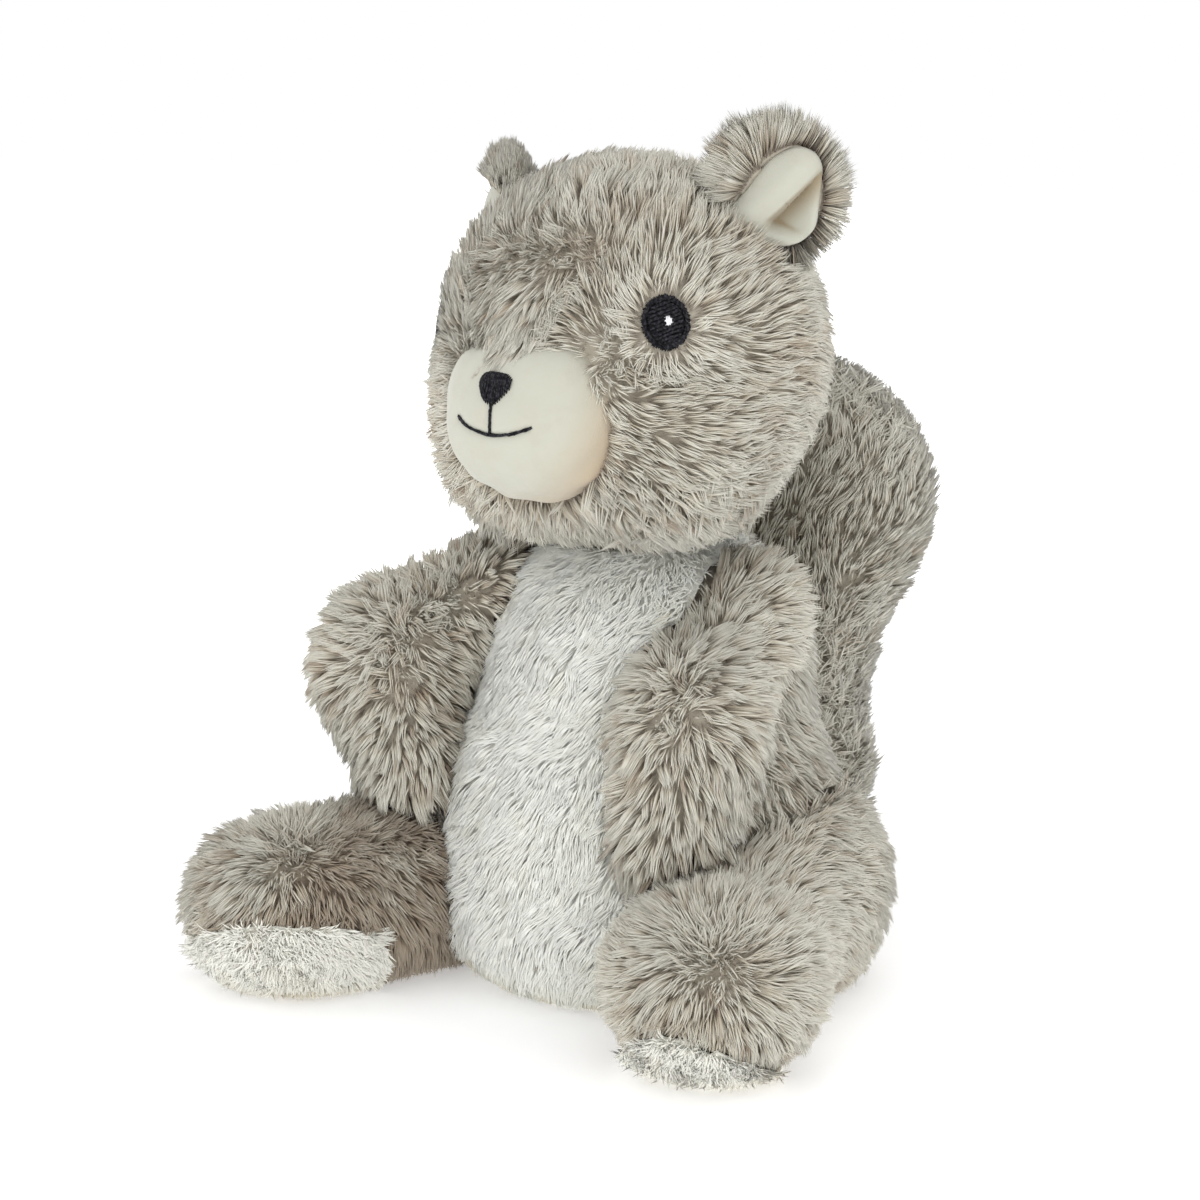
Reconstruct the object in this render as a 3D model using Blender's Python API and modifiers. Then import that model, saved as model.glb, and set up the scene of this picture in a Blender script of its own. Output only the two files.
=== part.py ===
"""Plush squirrel, sitting. Metres, +Z up. The squirrel faces -Y, so +X is its own left side.

Each stuffed piece is a soft form: a few overlapping balls fused and smoothed to one skin, at the
level of its fur's tips. Where two pieces press together, one is cut back to keep the seam gap.
The origin is on the floor, under the middle of the torso's flattened seat.
"""

import math

import bmesh
import bpy
from mathutils import Euler, Matrix, Vector

MM = 0.001

# Gaps and thicknesses
SEAM_GAP = 0.3 * MM
PANEL_THICKNESS = 2.6 * MM
SOLE_THICKNESS = 2.6 * MM
LINING_THICKNESS = 1.8 * MM
THREAD_THICKNESS = 0.8 * MM

# Torso: a broad seat, a belly and a chest, each sunk so far below the floor or rising above it
SEAT_SIZE = Vector((138, 134, 74)) * MM
SEAT_SINK = 13 * MM
BELLY_SIZE = Vector((138, 120, 116)) * MM
BELLY_SINK = 8 * MM
BELLY_FORWARD = 4 * MM
CHEST_SIZE = Vector((106, 102, 104)) * MM
CHEST_RISE = 50 * MM
CHEST_SETBACK = 9 * MM

# White belly panel, as an outline seen from the front
PANEL_TOP_WIDTH = 74 * MM
PANEL_BOTTOM_WIDTH = 104 * MM
PANEL_WIDEST_HEIGHT = 42 * MM

# Head: a skull pressed onto the chest, two cheeks and the front of the face
SKULL_SIZE = Vector((131, 120, 126)) * MM
NECK_PRESS = 12 * MM
HEAD_FORWARD = 9 * MM
HEAD_YAW = -10
HEAD_ROLL = -4
CHEEK_SIZE = 78 * MM
CHEEK_STEP = Vector((24, -14, -23)) * MM
FACE_SIZE = Vector((84, 60, 84)) * MM
FACE_STEP = Vector((0, -30, -6)) * MM

# Muzzle, standing proud of the face, with its stitched nose and mouth
MUZZLE_SIZE = Vector((62, 52, 52)) * MM
MUZZLE_PROUD = 10 * MM
MUZZLE_DROP = 16 * MM
STITCHES_AZIMUTH = 2
STITCHES_ROLL = -6
NOSE_WIDTH = 11 * MM
NOSE_HEIGHT = 10 * MM
NOSE_POINT = 0.14
NOSE_RISE = 11 * MM
MOUTH_WIDTH = 28 * MM
MOUTH_SAG = 4 * MM
MOUTH_DROP = 3 * MM
STITCH_WIDTH = 1.5 * MM

# Embroidered eyes: their place on the skull, as angles from straight ahead
EYE_WIDTH = 14 * MM
EYE_HEIGHT = 16 * MM
LEFT_EYE_AZIMUTH = 49
RIGHT_EYE_AZIMUTH = -52
EYE_ELEVATION = 11
GLINT_WIDTH = 3 * MM
GLINT_HEIGHT = 4 * MM
GLINT_INWARDS = 1 * MM
GLINT_RISE = 1.5 * MM

# Ears: rounded flaps, hollowed on the side that faces forwards and outwards
EAR_SIZE = Vector((46, 22, 46)) * MM
EAR_ROOT = 13 * MM
EAR_AZIMUTH = 93
EAR_ELEVATION = 35
EAR_TURN = 38
LEFT_EAR_SPLAY = 14
RIGHT_EAR_SPLAY = 44
EAR_RIM = 5 * MM
EAR_HOLLOW_DEPTH = 9 * MM

# Arms: the shoulder pressed into the chest's side, then steps to the elbow and the paw
SHOULDER_FORWARD = 12 * MM
SHOULDER_RISE = 20 * MM
PAW_SIZE = Vector((48, 48, 52)) * MM
LEFT_SHOULDER_SIZE = Vector((48, 50, 52)) * MM
LEFT_SHOULDER_INSET = 14 * MM
LEFT_ELBOW_SIZE = Vector((54, 58, 66)) * MM
LEFT_ELBOW_STEP = Vector((-2, -36, -28)) * MM
LEFT_PAW_STEP = Vector((1, -12, -32)) * MM
RIGHT_SHOULDER_SIZE = Vector((54, 54, 54)) * MM
RIGHT_SHOULDER_INSET = 6 * MM
RIGHT_ELBOW_SIZE = Vector((64, 62, 68)) * MM
RIGHT_ELBOW_STEP = Vector((-35, -17, -26)) * MM
RIGHT_PAW_STEP = Vector((18, -16, -28)) * MM

# Legs: the hip pressed into the belly's side, then steps along the floor to the knee and the foot
HIP_SIZE = Vector((86, 94, 90)) * MM
HIP_INSET = 26 * MM
HIP_FORWARD = 3 * MM
HIP_SINK = 13 * MM
KNEE_SIZE = Vector((68, 68, 66)) * MM
KNEE_SINK = 8 * MM
FOOT_SIZE = Vector((74, 80, 61)) * MM
FOOT_SINK = 4 * MM
LEFT_KNEE_STEP = Vector((11, -43)) * MM
LEFT_FOOT_STEP = Vector((9, -31)) * MM
LEFT_FOOT_YAW = 20
RIGHT_KNEE_STEP = Vector((-30, -48)) * MM
RIGHT_FOOT_STEP = Vector((-15, -24)) * MM
RIGHT_FOOT_YAW = -62

# Soles: an oval on each foot, seen along the way that it faces
SOLE_WIDTH = 46 * MM
SOLE_LENGTH = 64 * MM
SOLE_TOWARDS_KNEE = 0.25
LEFT_SOLE_AZIMUTH = 12
LEFT_SOLE_PITCH = -50
LEFT_SOLE_ROLL = 90
RIGHT_SOLE_AZIMUTH = 8
RIGHT_SOLE_PITCH = -30
RIGHT_SOLE_ROLL = 0

# Tail: a root pressed against the belly's back, a waist and a fuller tip
TAIL_ROOT_SIZE = Vector((98, 60, 98)) * MM
TAIL_PRESS = 16 * MM
TAIL_LIFT = 2 * MM
TAIL_ASIDE = 1 * MM
TAIL_WAIST_SIZE = Vector((86, 56, 64)) * MM
TAIL_TIP_SIZE = Vector((108, 62, 106)) * MM
TAIL_WAIST_STEP = Vector((0, 16, 42)) * MM
TAIL_TIP_STEP = Vector((5, 8, 48)) * MM

# Fineness of the fused skins: how they are fused and smoothed, and the share of faces kept
FUSE_STEP = 7 * MM
FINE_FUSE_STEP = 4 * MM
SMOOTH_ROUNDS = 18
FACES_KEPT = 0.3

FUR_GREY = (0.42, 0.39, 0.34)
FUR_WHITE = (0.86, 0.85, 0.81)
FUR_CREAM = (0.84, 0.8, 0.7)
VELOUR_CREAM = (0.86, 0.83, 0.74)
THREAD_BLACK = (0.012, 0.012, 0.014)
THREAD_WHITE = (0.9, 0.9, 0.92)


def clear_scene():
    for obj in list(bpy.data.objects):
        bpy.data.objects.remove(obj)


def new_collection(name):
    made = bpy.data.collections.new(name)
    bpy.context.scene.collection.children.link(made)
    return made


def cloth(name, colour, roughness):
    material = bpy.data.materials.new(name)
    material.use_nodes = True
    shader = material.node_tree.nodes["Principled BSDF"]
    shader.inputs["Base Color"].default_value = (*colour, 1)
    shader.inputs["Roughness"].default_value = roughness
    shader.inputs["Metallic"].default_value = 0
    return material


def ball(centre, size, turn=(0, 0, 0)):
    """The matrix of a ball of radius 1 that gives it a centre, three full sizes and a turn."""
    angles = Euler([math.radians(a) for a in turn])
    scale = Matrix.Diagonal([s / 2 for s in size] + [1])
    return Matrix.Translation(centre) @ angles.to_matrix().to_4x4() @ scale


def evaluated_mesh(obj):
    graph = bpy.context.evaluated_depsgraph_get()
    return bpy.data.meshes.new_from_object(obj.evaluated_get(graph))


def balls_mesh(name, balls):
    shape = bmesh.new()
    for matrix in balls:
        bmesh.ops.create_icosphere(shape, subdivisions=4, radius=1, matrix=matrix)
    mesh = bpy.data.meshes.new(name)
    shape.to_mesh(mesh)
    shape.free()
    return mesh


def fused_mesh(name, balls, voxel):
    """One smooth skin round several balls, in triangles, so that its grown copies follow it."""
    rough = bpy.data.objects.new(name + "_rough", balls_mesh(name, balls))
    bpy.context.scene.collection.objects.link(rough)
    fuse = rough.modifiers.new("fuse", "REMESH")
    fuse.mode = "VOXEL"
    fuse.voxel_size = voxel
    smooth = rough.modifiers.new("smooth", "SMOOTH")
    smooth.iterations = SMOOTH_ROUNDS
    thin = rough.modifiers.new("thin", "DECIMATE")
    thin.ratio = FACES_KEPT
    thin.use_collapse_triangulate = True
    skin = evaluated_mesh(rough)
    bpy.data.objects.remove(rough)
    skin.shade_smooth()
    return skin


def grow(obj, distance):
    step = obj.modifiers.new("grow", "DISPLACE")
    step.strength = distance
    step.mid_level = 0


def combine(obj, other, operation):
    step = obj.modifiers.new(f"{operation.lower()} {other.name}", "BOOLEAN")
    step.operation = operation
    step.object = other
    step.solver = "EXACT"


class Toy:
    """The toy's pieces, and the cutters that shape them and keep them clear of each other."""

    def __init__(self):
        self.parts = new_collection("plush_squirrel")
        self.cutters = new_collection("cutters")
        self.forms = {}
        self.floor = self.floor_cutter()

    def piece(self, name, mesh, material, parent=None):
        obj = bpy.data.objects.new(name, mesh.copy())
        obj.data.materials.clear()
        obj.data.materials.append(material)
        obj.parent = parent
        self.parts.objects.link(obj)
        return obj

    def cutter(self, name, mesh, parent=None):
        obj = bpy.data.objects.new(name, mesh)
        obj.hide_render = True
        obj.display_type = "WIRE"
        obj.parent = parent
        self.cutters.objects.link(obj)
        return obj

    def form(self, name, mesh, material, parent=None):
        """A stuffed piece that other pieces can be laid on or kept clear of."""
        self.forms[name] = (mesh, parent)
        return self.piece(name, mesh, material, parent)

    def grown(self, name, distance):
        mesh, parent = self.forms[name]
        made = self.cutter(f"{name}_grown", mesh, parent)
        grow(made, distance)
        return made

    def keep_clear(self, obj, *names):
        for name in names:
            combine(obj, self.grown(name, SEAM_GAP), "DIFFERENCE")

    def overlay(self, name, under, outline, material, outer, inner=SEAM_GAP):
        """A thin layer over a form, inner to outer above its skin, inside an outline's prism."""
        mesh, parent = self.forms[under]
        layer = self.piece(name, mesh, material, parent)
        grow(layer, outer)
        combine(layer, outline, "INTERSECT")
        combine(layer, self.grown(under, inner), "DIFFERENCE")
        return layer

    def floor_cutter(self):
        """A block whose top is the floor, wide and deep enough for every piece."""
        reach = BELLY_SIZE.z + CHEST_SIZE.z + SKULL_SIZE.z
        shape = bmesh.new()
        place = Matrix.Translation((0, 0, -reach / 2))
        bmesh.ops.create_cube(shape, size=reach, matrix=place)
        bmesh.ops.scale(shape, vec=(3, 3, 1), verts=shape.verts)
        mesh = bpy.data.meshes.new("floor")
        shape.to_mesh(mesh)
        shape.free()
        return self.cutter("floor", mesh)

    def prism(self, name, points, depth, matrix, parent=None):
        """A cutter with a flat outline in its own XY plane, from 0 to depth along its Z."""
        curve = bpy.data.curves.new(name, "CURVE")
        curve.dimensions = "2D"
        curve.fill_mode = "BOTH"
        curve.extrude = depth / 2
        line = curve.splines.new("POLY")
        line.points.add(len(points) - 1)
        for point, (x, y) in zip(line.points, points):
            point.co = (x, y, 0, 1)
        line.use_cyclic_u = True
        guide = bpy.data.objects.new(name + "_curve", curve)
        bpy.context.scene.collection.objects.link(guide)
        mesh = evaluated_mesh(guide)
        bpy.data.objects.remove(guide)
        welded = bmesh.new()
        welded.from_mesh(mesh)
        bmesh.ops.remove_doubles(welded, verts=welded.verts, dist=0.01 * MM)
        bmesh.ops.recalc_face_normals(welded, faces=welded.faces)
        bmesh.ops.transform(welded, matrix=matrix @ Matrix.Translation((0, 0, depth / 2)),
                            verts=welded.verts)
        welded.to_mesh(mesh)
        welded.free()
        return self.cutter(name, mesh, parent)


def facing(centre, azimuth, elevation):
    """A frame at centre whose Z axis points outwards, at angles from straight ahead."""
    a, e = math.radians(azimuth), math.radians(elevation)
    ahead = Vector((math.sin(a) * math.cos(e), -math.cos(a) * math.cos(e), math.sin(e)))
    side = Vector((math.cos(a), math.sin(a), 0))
    turn = Matrix((side, ahead.cross(side), ahead)).transposed().to_4x4()
    return Matrix.Translation(centre) @ turn


def on_ball(size, azimuth, elevation):
    """The point of a ball's surface at angles from straight ahead."""
    way = facing((0, 0, 0), azimuth, elevation).to_3x3() @ Vector((0, 0, 1))
    return way / math.sqrt(sum((2 * w / s) ** 2 for w, s in zip(way, size)))


def oval(width, height, count=24, centre=(0, 0)):
    points = []
    for i in range(count):
        t = 2 * math.pi * i / count
        points.append((centre[0] + width / 2 * math.cos(t), centre[1] + height / 2 * math.sin(t)))
    return points


def belly_centre():
    return Vector((0, -BELLY_FORWARD, BELLY_SIZE.z / 2 - BELLY_SINK))


def chest_centre():
    return belly_centre() + Vector((0, CHEST_SETBACK, CHEST_RISE))


def head_centre():
    rise = CHEST_SIZE.z / 2 + SKULL_SIZE.z / 2 - NECK_PRESS
    return chest_centre() + Vector((0, -HEAD_FORWARD - CHEST_SETBACK, rise))


def muzzle_centre():
    """In the head's frame."""
    front = FACE_SIZE.y / 2 - FACE_STEP.y + MUZZLE_PROUD
    return Vector((0, MUZZLE_SIZE.y / 2 - front, -MUZZLE_DROP))


def make_torso(toy, fur):
    seat_centre = (0, -BELLY_FORWARD, SEAT_SIZE.z / 2 - SEAT_SINK)
    balls = [ball(seat_centre, SEAT_SIZE), ball(belly_centre(), BELLY_SIZE)]
    balls.append(ball(chest_centre(), CHEST_SIZE))
    torso = toy.form("torso", fused_mesh("torso", balls, FUSE_STEP), fur)
    combine(torso, toy.floor, "DIFFERENCE")
    toy.keep_clear(torso, "head")


def panel_outline(count=24):
    """The belly panel from the front: narrow at the neck, bulging to its widest low down."""
    top = head_centre().z
    points = []
    for i in range(count + 1):
        z = -SEAT_SINK + (top + SEAT_SINK) * i / count
        rise = (z - PANEL_WIDEST_HEIGHT) / (top - PANEL_WIDEST_HEIGHT)
        fade = 0.5 + 0.5 * math.cos(math.pi * min(max(rise, -1), 1))
        width = PANEL_TOP_WIDTH + (PANEL_BOTTOM_WIDTH - PANEL_TOP_WIDTH) * fade
        points.append((width / 2, z))
    return points + [(-x, z) for x, z in reversed(points)]


def make_belly_panel(toy, fur):
    front = facing((0, CHEST_SETBACK - BELLY_FORWARD, 0), 0, 0)
    depth = BELLY_SIZE.y
    outline = toy.prism("belly_outline", panel_outline(), depth, front)
    panel = toy.overlay("belly_panel", "torso", outline, fur, SEAM_GAP + PANEL_THICKNESS)
    combine(panel, toy.floor, "DIFFERENCE")
    toy.keep_clear(panel, "head", "left_arm", "right_arm", "left_leg", "right_leg")


def make_head(toy, fur, frame):
    balls = [ball((0, 0, 0), SKULL_SIZE), ball(FACE_STEP, FACE_SIZE)]
    for side in (1, -1):
        cheek = Vector((side * CHEEK_STEP.x, CHEEK_STEP.y, CHEEK_STEP.z))
        balls.append(ball(cheek, [CHEEK_SIZE] * 3))
    toy.form("head", fused_mesh("head", balls, FUSE_STEP), fur, frame)


def make_muzzle(toy, velour, black, frame):
    centre = muzzle_centre()
    mesh = fused_mesh("muzzle", [ball(centre, MUZZLE_SIZE)], FINE_FUSE_STEP)
    muzzle = toy.form("muzzle", mesh, velour, frame)
    toy.keep_clear(muzzle, "head")
    depth = MUZZLE_SIZE.y
    top = SEAM_GAP + THREAD_THICKNESS
    stitches = (facing(centre, STITCHES_AZIMUTH, 0)
                @ Matrix.Rotation(math.radians(STITCHES_ROLL), 4, "Z"))
    nose_place = stitches @ Matrix.Translation((0, NOSE_RISE, 0))
    nose = toy.prism("nose_outline", nose_outline(), depth, nose_place, frame)
    toy.overlay("nose", "muzzle", nose, black, top)
    mouth_place = stitches @ Matrix.Translation((0, -MOUTH_DROP, 0))
    mouth = toy.prism("mouth_outline", mouth_outline(), depth, mouth_place, frame)
    toy.overlay("mouth_stitching", "muzzle", mouth, black, top)


def nose_outline(count=24):
    """A triangle with round corners, its point down."""
    points = []
    for i in range(count):
        t = 2 * math.pi * i / count
        reach = (1 + NOSE_POINT * math.cos(3 * (t + math.pi / 2))) / 2
        points.append((NOSE_WIDTH * reach * math.cos(t), NOSE_HEIGHT * reach * math.sin(t)))
    return points


def mouth_outline(count=12):
    """A smile that is one stitch wide, with a stitched line from its middle up to the nose."""
    half = STITCH_WIDTH / 2
    line_top = NOSE_RISE + MOUTH_DROP - NOSE_HEIGHT / 2 - STITCH_WIDTH
    low, high = [], []
    for i in range(count + 1):
        across = 2 * i / count - 1
        x, y = MOUTH_WIDTH / 2 * across, MOUTH_SAG * across**2
        low.append((x, y - half))
        high.append((x, y + half))
    middle = count // 2
    line = [(-half, line_top), (half, line_top)]
    bar = [(-half, half), *line, (half, half)]
    upper = high[:middle] + bar + high[middle + 1:]
    return low + upper[::-1]


def make_eye(toy, side, word, black, white, frame):
    azimuth = LEFT_EYE_AZIMUTH if side > 0 else RIGHT_EYE_AZIMUTH
    place = facing((0, 0, 0), azimuth, EYE_ELEVATION)
    depth = SKULL_SIZE.x
    outline = toy.prism(f"{word}_eye_outline", oval(EYE_WIDTH, EYE_HEIGHT), depth, place, frame)
    eye_top = SEAM_GAP + THREAD_THICKNESS
    toy.overlay(f"{word}_eye", "head", outline, black, eye_top)
    spot = oval(GLINT_WIDTH, GLINT_HEIGHT, 12, (-side * GLINT_INWARDS, GLINT_RISE))
    outline = toy.prism(f"{word}_glint_outline", spot, depth, place, frame)
    base = eye_top + SEAM_GAP
    toy.overlay(f"{word}_eye_glint", "head", outline, white, base + THREAD_THICKNESS, base)


def ear_mesh(name, centre, size, turn_matrix):
    shape = bmesh.new()
    matrix = turn_matrix @ ball(centre, size)
    bmesh.ops.create_uvsphere(shape, u_segments=16, v_segments=10, radius=1, matrix=matrix)
    mesh = bpy.data.meshes.new(name)
    shape.to_mesh(mesh)
    shape.free()
    mesh.shade_smooth()
    return mesh


def make_ear(toy, side, word, splay, fur, velour, frame):
    """A flap with a hollow at its front, and a lining that follows the hollow."""
    root = on_ball(SKULL_SIZE, side * EAR_AZIMUTH, EAR_ELEVATION)
    angles = Euler((0, math.radians(side * splay), math.radians(side * EAR_TURN)))
    place = Matrix.Translation(root) @ angles.to_matrix().to_4x4()
    centre = Vector((0, 0, EAR_SIZE.z / 2 - EAR_ROOT))
    inset = Vector((EAR_RIM, 0, EAR_RIM)) * 2
    hollow_size = EAR_SIZE - inset
    shift = Vector((0, EAR_HOLLOW_DEPTH - EAR_SIZE.y, 0))
    flap = ear_mesh(f"{word}_ear", centre, EAR_SIZE, place)
    ear = toy.form(f"{word}_ear", flap, fur, frame)
    hollow = ear_mesh("hollow", centre + shift, hollow_size, place)
    combine(ear, toy.cutter(f"{word}_ear_hollow", hollow, frame), "DIFFERENCE")
    toy.keep_clear(ear, "head")
    outer = hollow_size - Vector((2, 2, 2)) * SEAM_GAP
    inner = outer - Vector((2, 2, 2)) * LINING_THICKNESS
    shell = ear_mesh(f"{word}_ear_lining", centre + shift, outer, place)
    lining = toy.piece(f"{word}_ear_lining", shell, velour, frame)
    inside = ear_mesh("inside", centre + shift, inner, place)
    combine(lining, toy.cutter(f"{word}_ear_inside", inside, frame), "DIFFERENCE")
    bounds = ear_mesh("bounds", centre, EAR_SIZE - inset / 4, place)
    combine(lining, toy.cutter(f"{word}_ear_bounds", bounds, frame), "INTERSECT")
    toy.keep_clear(lining, "head")


def make_arm(toy, side, word, inset, sizes, steps, fur):
    across = side * (CHEST_SIZE.x / 2 - inset)
    place = chest_centre() + Vector((across, -SHOULDER_FORWARD, SHOULDER_RISE))
    balls = []
    for size, step in zip(sizes, (Vector(), *steps)):
        place = place + step
        balls.append(ball(place, size))
    name = f"{word}_arm"
    arm = toy.form(name, fused_mesh(name, balls, FUSE_STEP), fur)
    toy.keep_clear(arm, "torso", "head", f"{word}_leg")


def make_leg(toy, side, word, steps, foot_yaw, sole_way, sole_roll, fur, sole_fur):
    across = side * (BELLY_SIZE.x / 2 - HIP_INSET)
    hip = Vector((across, -HIP_FORWARD, HIP_SIZE.z / 2 - HIP_SINK))
    knee = Vector((*(hip.xy + steps[0]), KNEE_SIZE.z / 2 - KNEE_SINK))
    foot = Vector((*(knee.xy + steps[1]), FOOT_SIZE.z / 2 - FOOT_SINK))
    turn = (0, 0, foot_yaw)
    balls = [ball(hip, HIP_SIZE), ball(knee, KNEE_SIZE), ball(foot, FOOT_SIZE, turn)]
    name = f"{word}_leg"
    leg = toy.form(name, fused_mesh(name, balls, FUSE_STEP), fur)
    combine(leg, toy.floor, "DIFFERENCE")
    toy.keep_clear(leg, "torso")
    middle = foot.lerp(knee, SOLE_TOWARDS_KNEE)
    place = facing(middle, *sole_way) @ Matrix.Rotation(math.radians(sole_roll), 4, "Z")
    outline = toy.prism(f"{word}_sole_outline", oval(SOLE_LENGTH, SOLE_WIDTH), FOOT_SIZE.y, place)
    sole = toy.overlay(f"{word}_sole", name, outline, sole_fur, SEAM_GAP + SOLE_THICKNESS)
    combine(sole, toy.floor, "DIFFERENCE")


def make_tail(toy, fur):
    back = (BELLY_SIZE.y + TAIL_ROOT_SIZE.y) / 2 - TAIL_PRESS
    root = Vector((TAIL_ASIDE, back, TAIL_ROOT_SIZE.z / 2 + TAIL_LIFT))
    waist = root + TAIL_WAIST_STEP
    tip = waist + TAIL_TIP_STEP
    balls = [ball(root, TAIL_ROOT_SIZE), ball(waist, TAIL_WAIST_SIZE), ball(tip, TAIL_TIP_SIZE)]
    tail = toy.form("tail", fused_mesh("tail", balls, FUSE_STEP), fur)
    toy.keep_clear(tail, "torso", "head", "left_leg", "right_leg")


def make_squirrel():
    clear_scene()
    toy = Toy()
    grey = cloth("grey_fur", FUR_GREY, 0.9)
    white = cloth("white_fur", FUR_WHITE, 0.9)
    sole_fur = cloth("cream_fur", FUR_CREAM, 0.9)
    velour = cloth("cream_velour", VELOUR_CREAM, 0.85)
    black_thread = cloth("black_thread", THREAD_BLACK, 0.5)
    white_thread = cloth("white_thread", THREAD_WHITE, 0.5)

    frame = bpy.data.objects.new("head_frame", None)
    frame.location = head_centre()
    frame.rotation_euler = (0, math.radians(HEAD_ROLL), math.radians(HEAD_YAW))
    toy.parts.objects.link(frame)

    make_head(toy, grey, frame)
    make_torso(toy, grey)
    steps = (LEFT_KNEE_STEP, LEFT_FOOT_STEP)
    way = (LEFT_SOLE_AZIMUTH, LEFT_SOLE_PITCH)
    make_leg(toy, 1, "left", steps, LEFT_FOOT_YAW, way, LEFT_SOLE_ROLL, grey, sole_fur)
    steps = (RIGHT_KNEE_STEP, RIGHT_FOOT_STEP)
    way = (RIGHT_SOLE_AZIMUTH, RIGHT_SOLE_PITCH)
    make_leg(toy, -1, "right", steps, RIGHT_FOOT_YAW, way, RIGHT_SOLE_ROLL, grey, sole_fur)
    sizes = (LEFT_SHOULDER_SIZE, LEFT_ELBOW_SIZE, PAW_SIZE)
    steps = (LEFT_ELBOW_STEP, LEFT_PAW_STEP)
    make_arm(toy, 1, "left", LEFT_SHOULDER_INSET, sizes, steps, grey)
    sizes = (RIGHT_SHOULDER_SIZE, RIGHT_ELBOW_SIZE, PAW_SIZE)
    steps = (RIGHT_ELBOW_STEP, RIGHT_PAW_STEP)
    make_arm(toy, -1, "right", RIGHT_SHOULDER_INSET, sizes, steps, grey)
    make_belly_panel(toy, white)
    make_tail(toy, grey)
    make_muzzle(toy, velour, black_thread, frame)
    for side, word, splay in ((1, "left", LEFT_EAR_SPLAY), (-1, "right", RIGHT_EAR_SPLAY)):
        make_eye(toy, side, word, black_thread, white_thread, frame)
        make_ear(toy, side, word, splay, grey, velour, frame)


make_squirrel()
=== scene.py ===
"""Looks of the plush squirrel: its pile, velour and embroidery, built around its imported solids.

Metres, +Z up. The squirrel faces -Y, so +X is its own left side. A solid's surface is the level
of its fur's tips: each stuffed form gets a smooth skin below that level and a pile of fine closed
strands that rise to it. Pixels of the photograph are in its 1200 x 1200 frame.
"""

import math
from dataclasses import dataclass

import bmesh
import bpy
import numpy as np
from mathutils import Euler, Matrix, Vector
from mathutils.bvhtree import BVHTree
from mathutils.kdtree import KDTree


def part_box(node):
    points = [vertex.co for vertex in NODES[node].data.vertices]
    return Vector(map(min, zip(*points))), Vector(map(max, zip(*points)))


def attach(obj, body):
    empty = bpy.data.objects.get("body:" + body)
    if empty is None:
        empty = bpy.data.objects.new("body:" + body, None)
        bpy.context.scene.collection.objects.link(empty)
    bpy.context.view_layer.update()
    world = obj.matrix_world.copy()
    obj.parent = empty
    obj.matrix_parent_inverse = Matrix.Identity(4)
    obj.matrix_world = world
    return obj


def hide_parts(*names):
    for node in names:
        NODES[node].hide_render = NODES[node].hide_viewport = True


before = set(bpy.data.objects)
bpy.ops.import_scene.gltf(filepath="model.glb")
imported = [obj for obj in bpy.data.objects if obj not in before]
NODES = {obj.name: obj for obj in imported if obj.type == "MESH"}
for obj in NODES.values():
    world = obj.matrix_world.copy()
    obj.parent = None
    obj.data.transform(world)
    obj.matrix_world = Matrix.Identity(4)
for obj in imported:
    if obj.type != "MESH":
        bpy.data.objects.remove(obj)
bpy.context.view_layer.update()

MM = 0.001
SIGNS = {"left": 1, "right": -1}

# Camera, at the photograph's viewing angle
CAMERA_AZIMUTH = 29
CAMERA_ELEVATION = 12
CAMERA_DISTANCE = 0.8
CAMERA_TARGET = Vector((0.0267, -0.081, 0.138))
VIEW_WIDTH = 0.351
SENSOR_WIDTH = 36
PHOTO_PIXELS = 1200

# The head's turn and tilt, and the ears' places on the skull, as in the solids
HEAD_YAW = -10
HEAD_ROLL = -4
SKULL_SIZE = Vector((131, 120, 126)) * MM
EAR_AZIMUTH = 93
EAR_ELEVATION = 35
EAR_TURN = 38
EAR_SPLAY = {"left": 14, "right": 44}
EAR_CENTRE = Vector((0, 0, 10)) * MM

# The muzzle's dome, in the head's frame
MUZZLE_CENTRE = Vector((0, -44, -16)) * MM
MUZZLE_SIZE = Vector((62, 52, 52)) * MM
STITCHES_AZIMUTH = 2
STITCHES_ROLL = -6

# The embroidery: the eyes' places on the head (degrees), then sizes and places on the cloth
EYE_AZIMUTHS = {"left": 49, "right": -52}
EYE_ELEVATION = 11
EYE_WIDTH = 14 * MM
EYE_HEIGHT = 16 * MM
EYE_RIM = 1.5 * MM
EYE_SUNK = {"left": 0.3 * MM, "right": 1.2 * MM}
EYE_DEPTHS = {"left": 1.4 * MM, "right": 3.0 * MM}  # the skin's depth around an eye
EYE_SLANT = {"left": 17, "right": -17}
RIM_STITCHES = 108
RIM_LEAN = 0.05
ROW_REACH = 0.38 * MM  # an outline's point this near a row of stitches is its end
GLINT_SIZE = (2.7 * MM, 4.1 * MM)
GLINT_STEP = {"left": Vector((1.6, -1.3, 0)) * MM, "right": Vector((-1.6, -1.3, 0)) * MM}
MOUTH_WIDTH = 28 * MM
MOUTH_SAG = 3.6 * MM
MOUTH_DROP = 3 * MM
NOSE_WIDTH = 11 * MM
NOSE_HEIGHT = 9.2 * MM
NOSE_POINT = 0.1
NOSE_TAPER = 0.16
NOSE_RISE = 11 * MM

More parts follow.
